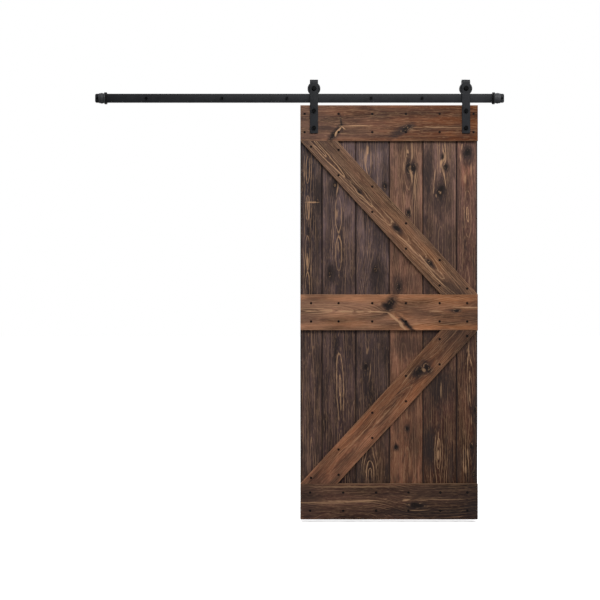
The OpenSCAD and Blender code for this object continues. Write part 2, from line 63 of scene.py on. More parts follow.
bl_info = {
    "name": "Sliding barn door",
    "version": (1, 0, 0),
    "blender": (4, 5, 0),
    "location": "3D View > Sidebar > Barn door",
    "description": "Finishes a plank barn door and its flat track, and sets a plain studio",
    "category": "Object",
}

MM = 0.001
SIDES = ("left", "right")
BRACE_WIDTH = 140 * MM
SCREW_GAP = 12 * MM  # the screws of a board stand further apart than this
SCREW_SHADE_RADIUS = 6.5  # radius of the painted shade round each screw's countersink, in millimetres
BOLT_RADIUS = 6 * MM  # the hangers' bolts, M12
BOLT_PITCH = 1.75 * MM
LAG_RADIUS = 4 * MM
LAG_PITCH = 3.4 * MM
SMOOTH = {"interpolation_type": "SMOOTHSTEP"}  # a range that eases at both ends
COLOURS = {"data_type": "RGBA", "out": "Result"}  # what makes a mix node mix colours


def linear(hex_colour):
    """An sRGB hex colour as linear red, green, blue and alpha."""
    srgb = [int(hex_colour[i : i + 2], 16) / 255 for i in (1, 3, 5)]
    return (*(c / 12.92 if c <= 0.04045 else ((c + 0.055) / 1.055) ** 2.4 for c in srgb), 1.0)


def dimmed(colour, level):
    """A hex colour or a linear one, multiplied."""
    rgb = linear(colour) if isinstance(colour, str) else colour
    return (*(c * level for c in rgb[:3]), 1.0)


# ---- node helpers -----------------------------------------------------------------------


def add_node(tree, kind, *values, out=0, inputs=(), **settings):
    """Adds a shader node with its settings and links. A second word in its kind is its
    operation. Values are set or linked in the order of its inputs, and inputs are a dict of
    name and value. Returns the output asked for."""
    kind, _, operation = kind.partition(" ")
    node = tree.nodes.new("ShaderNode" + kind)
    if operation:
        node.operation = operation
    for name, value in settings.items():
        setattr(node, name, value)
    for socket, value in (*enumerate(values), *dict(inputs).items()):
        if isinstance(value, bpy.types.NodeSocket):
            tree.links.new(value, node.inputs[socket])
        else:
            node.inputs[socket].default_value = value
    return node.outputs[out] if node.outputs else node


def new_material(name):
    """An empty material, and the function that adds its nodes."""
    material = bpy.data.materials.new(name)
    material.use_nodes = True
    material.node_tree.nodes.clear()
    return material, partial(add_node, material.node_tree)


def paint(material, *nodes):
    """Gives CAD nodes a material in place of their own."""
    for name in nodes:
        piece = frame["nodes"][name]
        piece.data.materials.clear()
        piece.data.materials.append(material)


# ---- stained pine -------------------------------------------------------------------------
# A board's own axes: x along its grain, y across its face and z from its face into its depth,
# in millimetres from the middle of its face. The planks' grain runs up, the rails' to the
# right, and each brace's to the right along its slope. Across is to the right on a plank and
# downwards on the other boards.
#
# stain: its colour at the low or left end and at the other, both before its depth varies.
# seed: sets the clouds of the board's noises apart from the other boards'.
# wave and calm: how strong the fine bends of the grain and the swing of its fibres are, or 1.
# heart: how deep the trunk's pith lies behind the face at shares of the board's length. Growth
#     rings close into a loop where it comes near, and stand as nested points where it goes away.
# drift: how far across the face the pith lies, at shares of the length.
# knots: (along, across, half length, half width, tilt) of the dark cores.
# The other lists are ovals (along, across, half length, half width, strength, tilt). Tilts are
# in degrees from the grain and may be left out.
# figures: where the bold lines stand out.
# smears: stain that soaked in deeper, and painted shade: ovals that darken the planks under the
# rails and braces, and the rails and braces towards their right-hand ends.
# streaks: hard, resin-filled wood that stayed pale.
# rubbed: warm patches where rubbing thinned the stain, and painted highlights: bands along the
# rails' edges that stand for the light their eased edges catch.

PLANKS = {
    "plank_1": dict(
        stain=("#533d36", "#2f2b30"), seed=1.3,
        heart=((0, 12), (0.1, 9), (0.2, 15), (0.33, 8), (0.46, 16), (0.566, 8), (0.6, 13),
               (0.648, 6), (0.705, 15), (0.754, 8), (0.8, 14), (0.848, 7), (0.91, 16), (1, 10)),
        drift=((0, 4), (0.3, -6), (0.5, -18), (0.7, -22), (1, -20)),
        knots=((575, 28, 7, 5),),
        figures=((730, -22, 70, 20, 0.9), (540, -20, 60, 18, 1.0), (385, -22, 40, 12, 0.7),
                 (230, -22, 110, 22, 1.0), (-150, 0, 80, 30, 0.5), (-700, -10, 160, 20, 0.5)),
        smears_and_shade=((310, 0, 60, 40, 0.4), (600, 34, 100, 28, 0.95), (330, 30, 150, 14, 0.6),
                (-250, 30, 200, 15, 0.5), (-900, -20, 90, 20, 0.5)),
        streaks=((568, 0, 4, 30, 0.7), (556, -22, 26, 3, 0.6), (260, -23, 34, 5, 0.7),
                 (505, -18, 24, 3, 0.5)),
    ),
    "plank_2": dict(
        stain=("#2f1c1a", "#5a4a4a"), seed=2.7, wave=1.3,
        heart=((0, 20), (0.09, 26), (0.2, 12), (0.25, 18), (0.31, 12), (0.42, 24), (0.55, 28),
               (0.648, 16), (0.69, 22), (0.723, 15), (0.79, 26), (0.9, 30), (1, 24)),
        drift=((0, 10), (0.25, 6), (0.5, -6), (0.72, -6), (1, -14)),
        knots=((656, -22, 12, 8), (203, -50, 15, 7)),
        figures=((400, -6, 170, 34, 0.9), (-370, 3, 210, 26, 1.0), (-760, 10, 110, 30, 0.4)),
        smears_and_shade=((500, -48, 70, 26, 0.5), (640, -34, 60, 24, 0.8), (360, -60, 120, 14, 0.5),
                (200, -40, 56, 30, 0.95), (130, 20, 60, 40, 0.5), (-200, 50, 190, 22, 0.4),
                (-800, -52, 160, 20, 0.4)),
        streaks=((640, -14, 34, 3, 0.6), (505, -14, 22, 4, 0.5), (340, -8, 26, 3, 0.5),
                 (-455, 6, 60, 3, 0.5)),
    ),
    "plank_3": dict(
        stain=("#38261f", "#5a4a4a"), seed=4.1,
        heart=((0, 3), (0.08, 4), (0.155, 28), (0.2, 36), (0.25, 42), (0.4, 46), (0.55, 36),
               (0.7, 44), (0.85, 16), (0.9, 12), (1, 22)),
        drift=((0, -14), (0.1, -14), (0.2, -16), (0.4, -30), (0.7, 16), (0.9, -26), (1, -20)),
        knots=((651, 64, 12, 9), (218, 12, 12, 9), (-281, -34, 13, 9)),
        figures=((790, -26, 90, 18, 0.9), (310, -19, 70, 14, 0.6), (-250, -30, 90, 24, 0.5),
                 (-770, -20, 90, 40, 1.0)),
        smears_and_shade=((862, 0, 34, 90, 0.6), (400, 30, 90, 40, 0.55), (-230, 0, 130, 90, 0.3),
                (690, 62, 130, 26, 0.6), (180, 20, 110, 46, 0.9), (-520, 56, 130, 20, 0.45),
                (-290, -30, 70, 30, 0.6), (-820, -62, 130, 15, 0.5)),
        streaks=((808, -32, 40, 4, 0.55), (838, -26, 22, 5, 0.6), (-300, -16, 50, 3, 0.4)),
        rubbed_and_edge_light=((-770, 40, 130, 44, 1.0), (-740, -20, 90, 30, 0.6)),
    ),
    "plank_4": dict(
        stain=("#754c37", "#6d5043"), seed=5.9, wave=1.6,
        heart=((0, 22), (0.1, 15), (0.22, 24), (0.36, 17), (0.5, 28), (0.6, 22), (0.72, 28),
               (0.8, 20), (0.87, 12), (0.93, 22), (1, 28)),
        drift=((0, 6), (0.3, 0), (0.5, -16), (0.7, 8), (0.87, 8), (1, 14)),
        knots=((742, 12, 22, 10), (744, 36, 18, 13), (512, 10, 12, 8), (131, -41, 12, 9),
               (-600, 4, 10, 7), (-698, -54, 11, 8)),
        figures=((830, 16, 80, 26, 0.9), (620, 48, 140, 22, 1.0), (560, -8, 120, 14, 0.6),
                 (-420, 0, 120, 26, 0.6)),
        smears_and_shade=((862, 0, 30, 80, 0.5), (-170, 0, 70, 80, 0.7), (-480, 20, 50, 36, 0.6),
                (-570, -52, 90, 16, 0.6), (340, -50, 90, 26, 0.5), (160, 10, 40, 60, 0.35),
                (640, 44, 150, 22, 0.6), (440, 58, 200, 16, 0.5), (130, -46, 70, 30, 0.8),
                (760, 24, 90, 30, 0.5), (-600, 8, 40, 30, 0.3), (-640, 40, 160, 20, 0.4)),
        streaks=((742, 2, 26, 3, 0.5), (812, 2, 60, 2.5, 0.45), (530, 18, 26, 3, 0.4),
                 (752, -10, 22, 3, 0.55, 10), (700, 26, 40, 3.5, 0.6), (660, 40, 70, 2.5, 0.5),
                 (840, 30, 50, 2.5, 0.45), (500, -10, 20, 3, 0.4)),
    ),
    "plank_5": dict(
        stain=("#32150a", "#634b43"), seed=7.4, wave=1.3,
        heart=((0, 22), (0.1, 18), (0.165, 9), (0.23, 18), (0.3, 14), (0.4, 24), (0.55, 30),
               (0.66, 20), (0.76, 26), (0.82, 18), (0.89, 10), (0.96, 20), (1, 26)),
        drift=((0, -6), (0.15, -8), (0.4, 2), (0.7, 4), (0.88, 8), (1, 4)),
        knots=((800, 14, 12, 7), (748, 30, 12, 10), (626, 4, 24, 14, 15)),
        figures=((800, 20, 80, 26, 1.0), (740, 6, 60, 20, 0.8), (370, -6, 90, 20, 0.6),
                 (-715, -14, 95, 22, 1.0)),
        smears_and_shade=((-100, -34, 60, 50, 0.7), (-385, 0, 95, 74, 0.9), (155, -30, 50, 50, 0.6),
                (560, 16, 80, 50, 0.55), (600, 54, 120, 14, 0.5), (-790, 56, 90, 16, 0.6),
                (720, -62, 150, 28, 0.9), (600, -10, 110, 44, 0.75), (360, 10, 130, 60, 0.6),
                (160, 60, 240, 18, 0.4), (-690, -56, 110, 30, 0.95), (-460, -60, 150, 16, 0.5)),
        streaks=((800, 20, 22, 4, 0.6), (765, 14, 22, 5, 0.7), (-400, 4, 44, 3, 0.5),
                 (628, -22, 18, 3, 0.6, 12), (602, -6, 9, 2.5, 0.5), (690, 22, 60, 3, 0.55),
                 (690, -22, 50, 3, 0.5), (-660, -10, 40, 3, 0.5), (-735, -10, 22, 6, 0.55)),
    ),
    "plank_6": dict(
        stain=("#311604", "#674940"), seed=8.8, wave=2.0,
        heart=((0, 14), (0.09, 20), (0.17, 9), (0.24, 17), (0.3, 11), (0.42, 22), (0.55, 16),
               (0.66, 24), (0.73, 12), (0.8, 22), (0.88, 26), (1, 18)),
        drift=((0, 20), (0.25, 24), (0.5, 0), (0.75, 6), (1, -6)),
        knots=((826, 2, 16, 13), (-503, 44, 12, 7), (-693, 24, 11, 7), (-837, 36, 12, 7)),
        figures=((500, 2, 60, 20, 0.9), (-220, 14, 70, 24, 0.9), (-420, 14, 60, 22, 0.8),
                 (-760, -6, 70, 26, 0.9)),
        smears_and_shade=((600, -40, 200, 14, 0.6), (-790, -40, 90, 16, 0.6), (-860, 30, 60, 40, 0.4),
                (-160, 0, 60, 50, 0.5), (810, 8, 60, 30, 0.8), (90, -36, 200, 16, 0.4),
                (-500, 44, 90, 20, 0.9), (-760, 44, 150, 18, 0.8)),
        streaks=((855, -18, 16, 4, 0.6), (800, -28, 20, 5, 0.5), (735, 24, 30, 5, 0.4),
                 (690, -8, 22, 6, 0.45), (-330, 14, 30, 3, 0.45), (-440, 14, 24, 3, 0.45),
                 (-560, 22, 24, 3, 0.4), (-720, 2, 20, 4, 0.45), (-810, -6, 20, 5, 0.45)),
        rubbed_and_edge_light=((700, 2, 70, 34, 1.0),),
    ),
}
FRAME_BOARDS = {
    "top_rail": dict(
        stain=("#61463a", "#522604"), seed=11.2, calm=0.65,
        heart=((0, 90), (0.3, 120), (0.6, 100), (1, 120)),
        drift=((0, -150), (0.35, -130), (0.7, -150), (1, -120)),
        knots=((-246, 4, 24, 3, 82), (-282, 56, 30, 7, 129), (88, 30, 24, 9, 150)),
        figures=((-180, 30, 120, 12, 0.4), (330, 22, 120, 14, 0.4)),
        smears_and_shade=((-274, 50, 56, 22, 0.8, 129), (-340, 26, 70, 14, 0.75), (-180, 44, 90, 16, 0.4),
                (52, 44, 66, 20, 0.85, 150), (-300, -30, 60, 30, 0.2), (395, 50, 60, 26, 0.35),
                (-90, 66, 120, 12, 0.35), (250, 34, 110, 12, 0.4), (-400, 76, 60, 12, 0.4),
                (170, -60, 160, 14, 0.25)),
        streaks=((-171, 14, 78, 2, 0.95), (-262, 40, 24, 5, 0.9, 129), (238, 20, 60, 3, 0.45),
                 (300, 22, 90, 2, 0.4), (-238, 22, 14, 3, 0.8, 40)),
        rubbed_and_edge_light=((-230, -56, 110, 26, 0.8), (0, 86, 460, 9, 0.6), (-100, -84, 420, 7, 0.4)),
    ),
    "middle_rail": dict(
        stain=("#87624e", "#774f36"), seed=12.9, calm=0.6,
        heart=((0, 5), (0.1, 10), (0.2, 18), (0.3, 26), (0.4, 34), (0.5, 44), (0.7, 60), (1, 50)),
        drift=((0, -6), (0.4, -7), (0.6, 14), (0.8, -6), (1, -34)),
        knots=((6, -42, 32, 14, 118), (-16, -36, 12, 9), (92, 62, 34, 6, 45), (344, -8, 15, 6)),
        figures=((-340, -8, 160, 26, 1.0), (-60, -4, 110, 28, 0.7), (240, -20, 120, 14, 0.5),
                 (400, -28, 80, 8, 0.8)),
        smears_and_shade=((-34, -26, 36, 14, 0.4), (450, 0, 50, 80, 0.5), (30, 66, 70, 22, 0.35),
                (150, 12, 110, 24, 0.4), (-420, 10, 60, 40, 0.4), (-250, 26, 120, 12, 0.15),
                (300, 30, 90, 14, 0.15), (420, 14, 60, 26, 0.45), (-120, 40, 80, 12, 0.2)),
        streaks=((-400, -6, 36, 4, 0.6), (-322, -9, 40, 4, 0.7), (-222, -6, 42, 5, 0.8),
                 (-152, -5, 24, 5, 0.7), (-56, -6, 62, 4.5, 0.9), (34, 34, 60, 6, 0.8, 42),
                 (70, 74, 40, 4, 0.7, 44), (240, -6, 34, 4, 0.5), (400, -26, 74, 3, 0.7)),
        rubbed_and_edge_light=((-230, 50, 130, 34, 0.8), (-160, -78, 330, 22, 0.8), (290, -74, 260, 26, 0.8),
                (240, 78, 290, 18, 0.9), (-330, 72, 150, 22, 0.6), (60, 10, 60, 30, 0.5)),
    ),
    "bottom_rail": dict(
        stain=("#573b30", "#231410"), seed=14.5,
        heart=((0, 60), (0.35, 50), (0.6, 70), (1, 66)),
        drift=((0, 90), (0.4, 80), (0.7, 110), (1, 100)),
        knots=((142, 22, 27, 10), (128, 14, 14, 6)),
        figures=((-330, 6, 160, 16, 0.6), (-60, -6, 200, 16, 0.6), (260, 10, 160, 16, 0.4)),
        smears_and_shade=((200, 56, 260, 24, 0.65), (230, -50, 170, 34, 0.35), (-425, 0, 70, 90, 0.55),
                (430, -20, 70, 70, 0.5), (440, 40, 70, 50, 0.75), (330, -10, 140, 30, 0.4)),
        streaks=((-330, 6, 150, 3, 0.5), (-180, -2, 130, 3, 0.7), (-110, -4, 60, 3, 0.7),
                 (88, -4, 20, 8, 0.7), (150, 2, 50, 3, 0.6), (150, 40, 54, 3, 0.5),
                 (260, -10, 120, 3, 0.35), (-200, -76, 190, 4, 0.35)),
        rubbed_and_edge_light=((0, -88, 460, 6, 0.5),),
    ),
    "upper_brace": dict(
        stain=("#4d3930", "#694a36"), seed=16.3, wave=1.8,
        heart=((0, 4), (0.25, 17), (0.5, 33), (0.75, 48), (1, 62)),
        drift=((0, 26), (0.4, 24), (0.55, 14), (0.75, 6), (1, -6)),
        knots=((70, 8, 18, 9), (313, 2, 18, 7), (-201, 26, 8, 6)),
        figures=((-300, 24, 330, 24, 1.0), (60, 6, 120, 26, 0.9), (430, 4, 280, 52, 1.0)),
        smears_and_shade=((40, 4, 90, 14, 0.35), (330, 10, 80, 14, 0.3), (520, 10, 90, 60, 0.65),
                (-420, -30, 60, 16, 0.25)),
        streaks=((-180, 30, 80, 2.5, 0.6), (-60, 24, 60, 2.5, 0.6), (150, 24, 70, 3, 0.7),
                 (-330, 34, 50, 2.5, 0.5), (300, 16, 60, 3, 0.7), (380, 30, 90, 2.5, 0.6)),
        rubbed_and_edge_light=((-200, -36, 380, 26, 0.5), (290, -26, 90, 28, 0.9), (160, 46, 260, 16, 0.4),
                (20, -4, 190, 50, 0.62)),
    ),
    "lower_brace": dict(
        stain=("#8a5a42", "#5b3a26"), seed=17.7, wave=1.8, calm=0.85,
        heart=((0, 30), (0.2, 20), (0.35, 32), (0.5, 24), (0.66, 36), (0.8, 30), (1, 36)),
        drift=((0, -10), (0.4, 6), (0.7, 10), (1, -6)),
        knots=((246, -8, 30, 14, 20), (280, 8, 22, 13, 100)),
        figures=((-150, 0, 300, 30, 0.35), (430, 10, 160, 30, 0.4)),
        smears_and_shade=((-590, 10, 120, 70, 0.65), (520, 0, 110, 70, 0.6), (250, 0, 80, 34, 0.6),
                (-380, 20, 110, 20, 0.45), (60, -40, 150, 14, 0.3), (-60, 30, 60, 16, 0.4),
                (-210, -34, 70, 14, 0.4), (450, 20, 120, 24, 0.4), (120, 20, 50, 14, 0.35),
                (-500, 44, 120, 14, 0.5), (90, -14, 16, 5, 0.6), (30, 6, 22, 4, 0.5),
                (-30, -20, 26, 4, 0.55), (-120, 12, 18, 5, 0.5), (-180, -4, 24, 4, 0.5),
                (-280, 8, 22, 4, 0.45), (-330, -24, 24, 4, 0.45)),
        streaks=((-60, 10, 90, 3, 0.4), (180, -30, 50, 4, 0.45), (-250, -12, 80, 3, 0.35),
                 (262, 4, 9, 2.5, 0.45), (288, 26, 12, 2.5, 0.5)),
        rubbed_and_edge_light=((-120, -40, 260, 26, 0.5), (150, 40, 120, 26, 0.5)),
    ),
}


def board_axes(node, slant):
    """The middle of a board's face, and the rows of the turn into its own axes."""
    low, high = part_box(node)
    middle = Vector(((low.x + high.x) / 2, low.y, (low.z + high.z) / 2))
    along = Vector((math.cos(slant), 0, math.sin(slant)))
    depth = Vector((0, 1, 0))
    return middle, Matrix((along, depth.cross(along), depth))


def board_place(add, node, slant):
    """The point on the surface in the board's own axes, in millimetres."""
    middle, turn = board_axes(node, slant)
    return add("Mapping", add("TexCoord", out="Object"), -(turn @ middle) / MM,
               turn.to_euler(), (1 / MM,) * 3)


def grain_noise(add, place, size, seed, out=0, **inputs):
    """Noise whose clouds have the given size in millimetres along, across and in depth. Most of
    it lies between 0.3 and 0.7, which the ranges that use it stretch."""
    shifted = add("Mapping", place, inputs={
        "Location": (seed * 7.1, seed * 3.3, seed * 5.7), "Scale": [1 / s for s in size]})
    return add("TexNoise", shifted, out=out, inputs={"Scale": 1, **inputs})


def swayed(add, place, seed, wave):
    """The place moved sideways by the bends of the trunk, from slow ones to fine ripples,
    which wave makes stronger."""
    for size, sway in (((1100, 900, 900), 10), ((170, 90, 90), 6), ((56, 26, 26), 2.6 * wave),
                       ((20, 8, 8), 0.9 * wave)):
        cloud = grain_noise(add, place, size, seed + sway, out="Color", Detail=1)
        centred = add("VectorMath SUBTRACT", cloud, (0.5,) * 3)
        place = add("VectorMath MULTIPLY_ADD", centred, (0, sway, sway), place)
    return place


def oval(add, place, along, across, half_length, half_width, tilt=0.0):
    """Distance from a point of the face, 1 on an ellipse of the given half sizes whose long
    axis is tilted by degrees from the grain."""
    own = add("Mapping", place, (along, across, 0), (0, 0, math.radians(tilt)),
              (half_length, half_width, 1e6), vector_type="TEXTURE")
    return add("VectorMath LENGTH", own, out="Value")


def ovals_mask(add, place, ovals, ragged, soft):
    """The strongest of a list of ragged ovals (along, across, half sizes, strength, tilt)."""
    strongest = 0.0
    for along, across, half_length, half_width, strength, *tilt in ovals:
        near = oval(add, place, along, across, half_length, half_width, *tilt)
        near = add("Math ADD", near, ragged)
        mask = add("MapRange", near, 1 - soft, 1 + soft, strength, 0, **SMOOTH)
        strongest = add("Math MAXIMUM", strongest, mask)
    return strongest


def parted(add, place, knots):
    """The place with the grain drawn together inside each knot, so that lines part round it."""
    for along, across, half_length, half_width, *_ in knots:
        near = oval(add, place, along, across, 3.6 * half_length, 2.6 * half_width)
        squeeze = add("MapRange", near, 0.0, 1.6, -0.8, 0.0, interpolation_type="SMOOTHERSTEP")
        off = add("VectorMath SUBTRACT", place, (along, across, 0))
        sideways = add("VectorMath MULTIPLY", off, (0, 1, 0))
        pull = add("VectorMath SCALE", sideways, inputs={"Scale": squeeze})
        place = add("VectorMath ADD", place, pull)
    return place


def mesh_points(node):
    """The points of a CAD node's mesh."""
    mesh = frame["nodes"][node].data
    points = np.empty(len(mesh.vertices) * 3, np.float32)
    mesh.vertices.foreach_get("co", points)
    return points.reshape(-1, 3)


def screw_places(node, slant):
    """Where the screws of a board stand on its face, along and across in millimetres: their
    points fall into clumps with a gap between them, in x and then in z."""

    def clumps(group, axis):
        group = group[np.argsort(group[:, axis])]
        return np.split(group, np.flatnonzero(np.diff(group[:, axis]) > SCREW_GAP) + 1)

    middle, turn = board_axes(node, slant)
    for column in clumps(mesh_points(f"{node}_screws"), 0):
        for screw in clumps(column, 2):
            centre = (screw.min(axis=0) + screw.max(axis=0)) / 2
            yield (turn @ (Vector(centre) - middle) / MM)[:2]


def along_curve(add, share, points):
    """A smooth curve through given points (share of the length, millimetres)."""
    values = [v for _, v in points]
    low, high = min(values) - 1, max(values) + 1
    height = add("FloatCurve", inputs={"Value": share})
    curve = height.node.mapping.curves[0]
    level = [(x, (v - low) / (high - low)) for x, v in points]
    for point in level[1:-1]:
        curve.points.new(*point)
    curve.points[0].location, curve.points[-1].location = level[0], level[-1]
    height.node.mapping.update()
    return add("Math MULTIPLY_ADD", height, high - low, low)


def ring_radius(add, place, half_length, board):
    """Distance from the trunk's pith, whose depth and drift follow the board's curves, and how
    squarely the rings cross the face there, from 0.16 where they graze it to 1."""
    axes = add("SeparateXYZ", place).node.outputs
    share = add("MapRange", axes["X"], -half_length, half_length)
    sideways = add("Math SUBTRACT", axes["Y"], along_curve(add, share, board["drift"]))
    depth = add("Math SUBTRACT", along_curve(add, share, board["heart"]), axes["Z"])
    radius = add("VectorMath LENGTH", add("CombineXYZ", sideways, depth), out="Value")
    square = add("Math DIVIDE", add("Math ABSOLUTE", sideways), radius)
    return radius, add("Math MAXIMUM", square, 0.16)


def ring_lines(add, radius, square, spacing, width):
    """Latewood lines and soft earlywood, each 0 to 1, from the distance to the pith. Rings
    differ in width by a slow wave of the radius and in strength by chance, and the lines keep
    one width in millimetres, also where a ring grazes the face."""
    rings = add("Math DIVIDE", radius, spacing)
    uneven = add("TexNoise", inputs={"W": rings, "Scale": 0.35, "Detail": 1},
                 noise_dimensions="1D")
    rings = add("Math MULTIPLY_ADD", uneven, 1.8, rings)
    share = add("Math FRACT", rings)
    chance = add("TexWhiteNoise", inputs={"W": add("Math FLOOR", rings)}, noise_dimensions="1D")
    # the line's middle lies at three quarters of each ring
    off = add("Math ABSOLUTE", add("Math SUBTRACT", share, 0.75))
    off = add("Math DIVIDE", add("Math MULTIPLY", off, spacing), square)
    line = add("MapRange", off, 0.15 * width, width, 1, 0, **SMOOTH)
    late = add("Math MULTIPLY", line, add("MapRange", chance, 0, 1, 0.2, 1))
    early = add("MapRange", share, 0.0, 0.45, 1, 0, **SMOOTH)
    return late, early


def knotted(add, place, colour, knots, ragged, flecks, looks):
    """Knots painted over the wood: a dark cloud where stain soaked into the torn grain, a darker
    core without a sharp rim, and a few pale specks of swirled grain in it."""
    nearest = 9.0
    for knot in knots:
        nearest = add("Math MINIMUM", nearest, oval(add, place, *knot))
    nearest = add("Math MULTIPLY_ADD", ragged, 1.3, nearest)
    halo = add("MapRange", nearest, 0.8, 3.0, 0.9, 0, **SMOOTH)
    core = add("MapRange", nearest, 0.4, 1.5, 0.95, 0, **SMOOTH)
    swirl = add("MapRange", add("Math PINGPONG", nearest, 0.45), 0.24, 0.45, 0, 0.75)
    for share in (flecks, add("MapRange", nearest, 1.2, 2.4, 1, 0)):
        swirl = add("Math MULTIPLY", swirl, share)
    rim, dark, pale = (dimmed(c, looks.stain_level) for c in
                       (looks.knot_rim, looks.knot_and_screw_shade_colour, looks.line_colour))
    for share, over in ((halo, rim), (core, dark), (swirl, pale)):
        colour = add("Mix", inputs={"Factor": share, "A": colour, "B": over}, **COLOURS)
    return colour, core


def stained_pine(node, board, slant, looks, spacing, line_strength, soaking,
                 edge_wear_and_light=0.0, joint_shade=0.0):
    """Planed pine under a dark walnut stain: the soft wood drinks the stain and goes dark, the
    hard latewood stays pale and shows as thin tan lines, and the grain swings round knots."""
    seed = board["seed"]
    material, add = new_material(f"stained_pine_{node}")
    low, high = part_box(node)
    size = (high - low) / MM
    if 0 < abs(slant) < math.pi / 2:
        half_length, half_width = math.hypot(size.x, size.z) / 2, BRACE_WIDTH / MM / 2
    else:
        half_length, half_width = max(size.x, size.z) / 2, min(size.x, size.z) / 2
    place = board_place(add, node, slant)
    bent = parted(add, swayed(add, place, seed, board.get("wave", 1.0)), board["knots"])
    radius, square = ring_radius(add, bent, half_length, board)
    late, early = ring_lines(add, radius, square, spacing, width=2.4)
    # the true rings of slow pine, 2 to 3 mm apart, are drawn faintly between the bold ones
    fine_late = ring_lines(add, radius, square, spacing=2.6, width=0.9)[0]

    # the stain goes from one end's colour to the other's, with cooler patches
    axes = add("SeparateXYZ", place).node.outputs
    share = add("MapRange", axes["X"], -half_length, half_length)
    first, second = (dimmed(colour, looks.stain_level) for colour in board["stain"])
    stain = add("Mix", inputs={"Factor": share, "A": first, "B": second}, **COLOURS)
    hue = grain_noise(add, bent, (330, 22, 60), seed + 4, Detail=2)
    hue = add("MapRange", hue, 0.35, 0.65, 0, 0.55)
    violet = add("VectorMath MULTIPLY", stain, looks.violet_shift)
    stain = add("Mix", inputs={"Factor": hue, "A": stain, "B": violet}, **COLOURS)

    # its depth varies with slow clouds, fibres, pores and the soft wood of each ring
    tone = grain_noise(add, place, (230, 46, 46), seed + 1, Detail=4)
    tone = add("MapRange", tone, 0.3, 0.7, 0.45, 1.55)
    fibre_cloud = grain_noise(add, bent, (120, 5, 5), seed + 2, Detail=5, Roughness=0.7)
    swing = 0.55 * board.get("calm", 1.0)
    fibres = add("MapRange", fibre_cloud, 0.28, 0.72, 1 - swing, 1 + swing)
    # pores are too fine to show, and are drawn 1.5 mm wide
    pores = grain_noise(add, bent, (36, 1.5, 1.5), seed + 3, Detail=2)
    pores = add("MapRange", pores, 0.2, 0.8, 0.7, 1.3)
    soft_wood = add("Math MULTIPLY_ADD", early, -0.25, 1)
    fine_rings = add("Math MULTIPLY_ADD", fine_late, 0.3, 0.95)
    for factor in (fibres, pores, soft_wood, fine_rings):
        tone = add("Math MULTIPLY", tone, factor)
    brown = add("VectorMath SCALE", stain, inputs={"Scale": tone})

    ragged = grain_noise(add, bent, (26, 8, 8), seed + 6, Detail=3)
    ragged = add("MapRange", ragged, 0, 1, -0.7, 0.7)
    # warm patches where rubbing thinned the stain, and painted highlights in bands along the
    # rails' edges, where their eased edges catch the light
    if board.get("rubbed_and_edge_light"):
        fringe = add("MapRange", fibre_cloud, 0.3, 0.7, -0.5, 0.5)
        rubbed_and_edge_light = ovals_mask(add, place, board["rubbed_and_edge_light"], fringe, 0.6)
        warm = add("VectorMath MULTIPLY", brown, looks.rubbed_and_edge_light_shift)
        brown = add("Mix", inputs={"Factor": rubbed_and_edge_light, "A": brown, "B": warm}, **COLOURS)

    # the bold lines come and go over the board, and stand out in its figures
    seen = grain_noise(add, bent, (150, 16, 16), seed + 5, Detail=3)
    seen = add("Math MULTIPLY", add("MapRange", seen, 0.38, 0.64, 0.05, 0.8), line_strength)
    seen = add("Math MAXIMUM", seen, ovals_mask(add, place, board["figures"], ragged, 0.5))
    pale = add("Math MULTIPLY", late, seen)
    # flecks are short runs of hard grain, about 3 mm wide
    flecks = grain_noise(add, bent, (34, 3.2, 3.2), seed + 8, Detail=2, Roughness=0.6)
    flecks = add("MapRange", flecks, 0.54, 0.68)
    pale = add("Math MAXIMUM", pale, add("Math MULTIPLY", flecks, looks.fleck_strength))
    from_edge = add("Math ABSOLUTE", axes["Y"])
    # wear and a painted highlight: the long edges of the frame boards lighten where their eased
    # edges catch the light
    if edge_wear_and_light:
        worn_and_lit = add("MapRange", from_edge, half_width - 6, half_width - 1, 0, edge_wear_and_light, **SMOOTH)
        gaps = add("MapRange", fibre_cloud, 0.35, 0.6, 0.4, 1)
        pale = add("Math MAXIMUM", pale, add("Math MULTIPLY", worn_and_lit, gaps))
    latewood, soaked_and_shaded_wood, countersink_shade = (dimmed(c, looks.stain_level) for c in
                                        (looks.line_colour, looks.smear_and_shade_colour, looks.knot_and_screw_shade_colour))
    colour = add("Mix", inputs={"Factor": pale, "A": brown, "B": latewood}, **COLOURS)
    # painted shade in the V-joints between the planks, in the soaked colour
    if joint_shade:
        joint_painted_shade = add("MapRange", from_edge, half_width - 10, half_width - 3, 0, joint_shade,
                     **SMOOTH)
        colour = add("Mix", inputs={"Factor": joint_painted_shade, "A": colour, "B": soaked_and_shaded_wood}, **COLOURS)

    # stain that soaked in deeper, and painted shade under the rails and braces and at the frame
    # boards' right-hand ends, both in the soaked colour
    smears_and_shade = ovals_mask(add, place, board["smears_and_shade"], ragged, 0.6)
    soaked = grain_noise(add, place, (110, 34, 34), seed + 7, Detail=4)
    smears_and_shade = add("Math MAXIMUM", smears_and_shade, add("MapRange", soaked, 0.52, 0.7, 0, soaking))
    # hard grain takes less of the stain, so its lines still show inside a smear
    smears_and_shade = add("Math MULTIPLY", smears_and_shade, add("MapRange", pale, 0, 1, 0.95, 0.55))
    colour = add("Mix", inputs={"Factor": smears_and_shade, "A": colour, "B": soaked_and_shaded_wood}, **COLOURS)
    colour, cores = knotted(add, place, colour, board["knots"], ragged, flecks, looks)
    # resin keeps the stain out, so its streaks stay pale over smears and knots as well
    streaks = ovals_mask(add, bent, board["streaks"], ragged, 0.4)
    streaks = add("Math MULTIPLY", streaks, pores)
    colour = add("Mix", inputs={"Factor": streaks, "A": colour, "B": latewood}, **COLOURS)
    if f"{node}_screws" in frame["nodes"]:
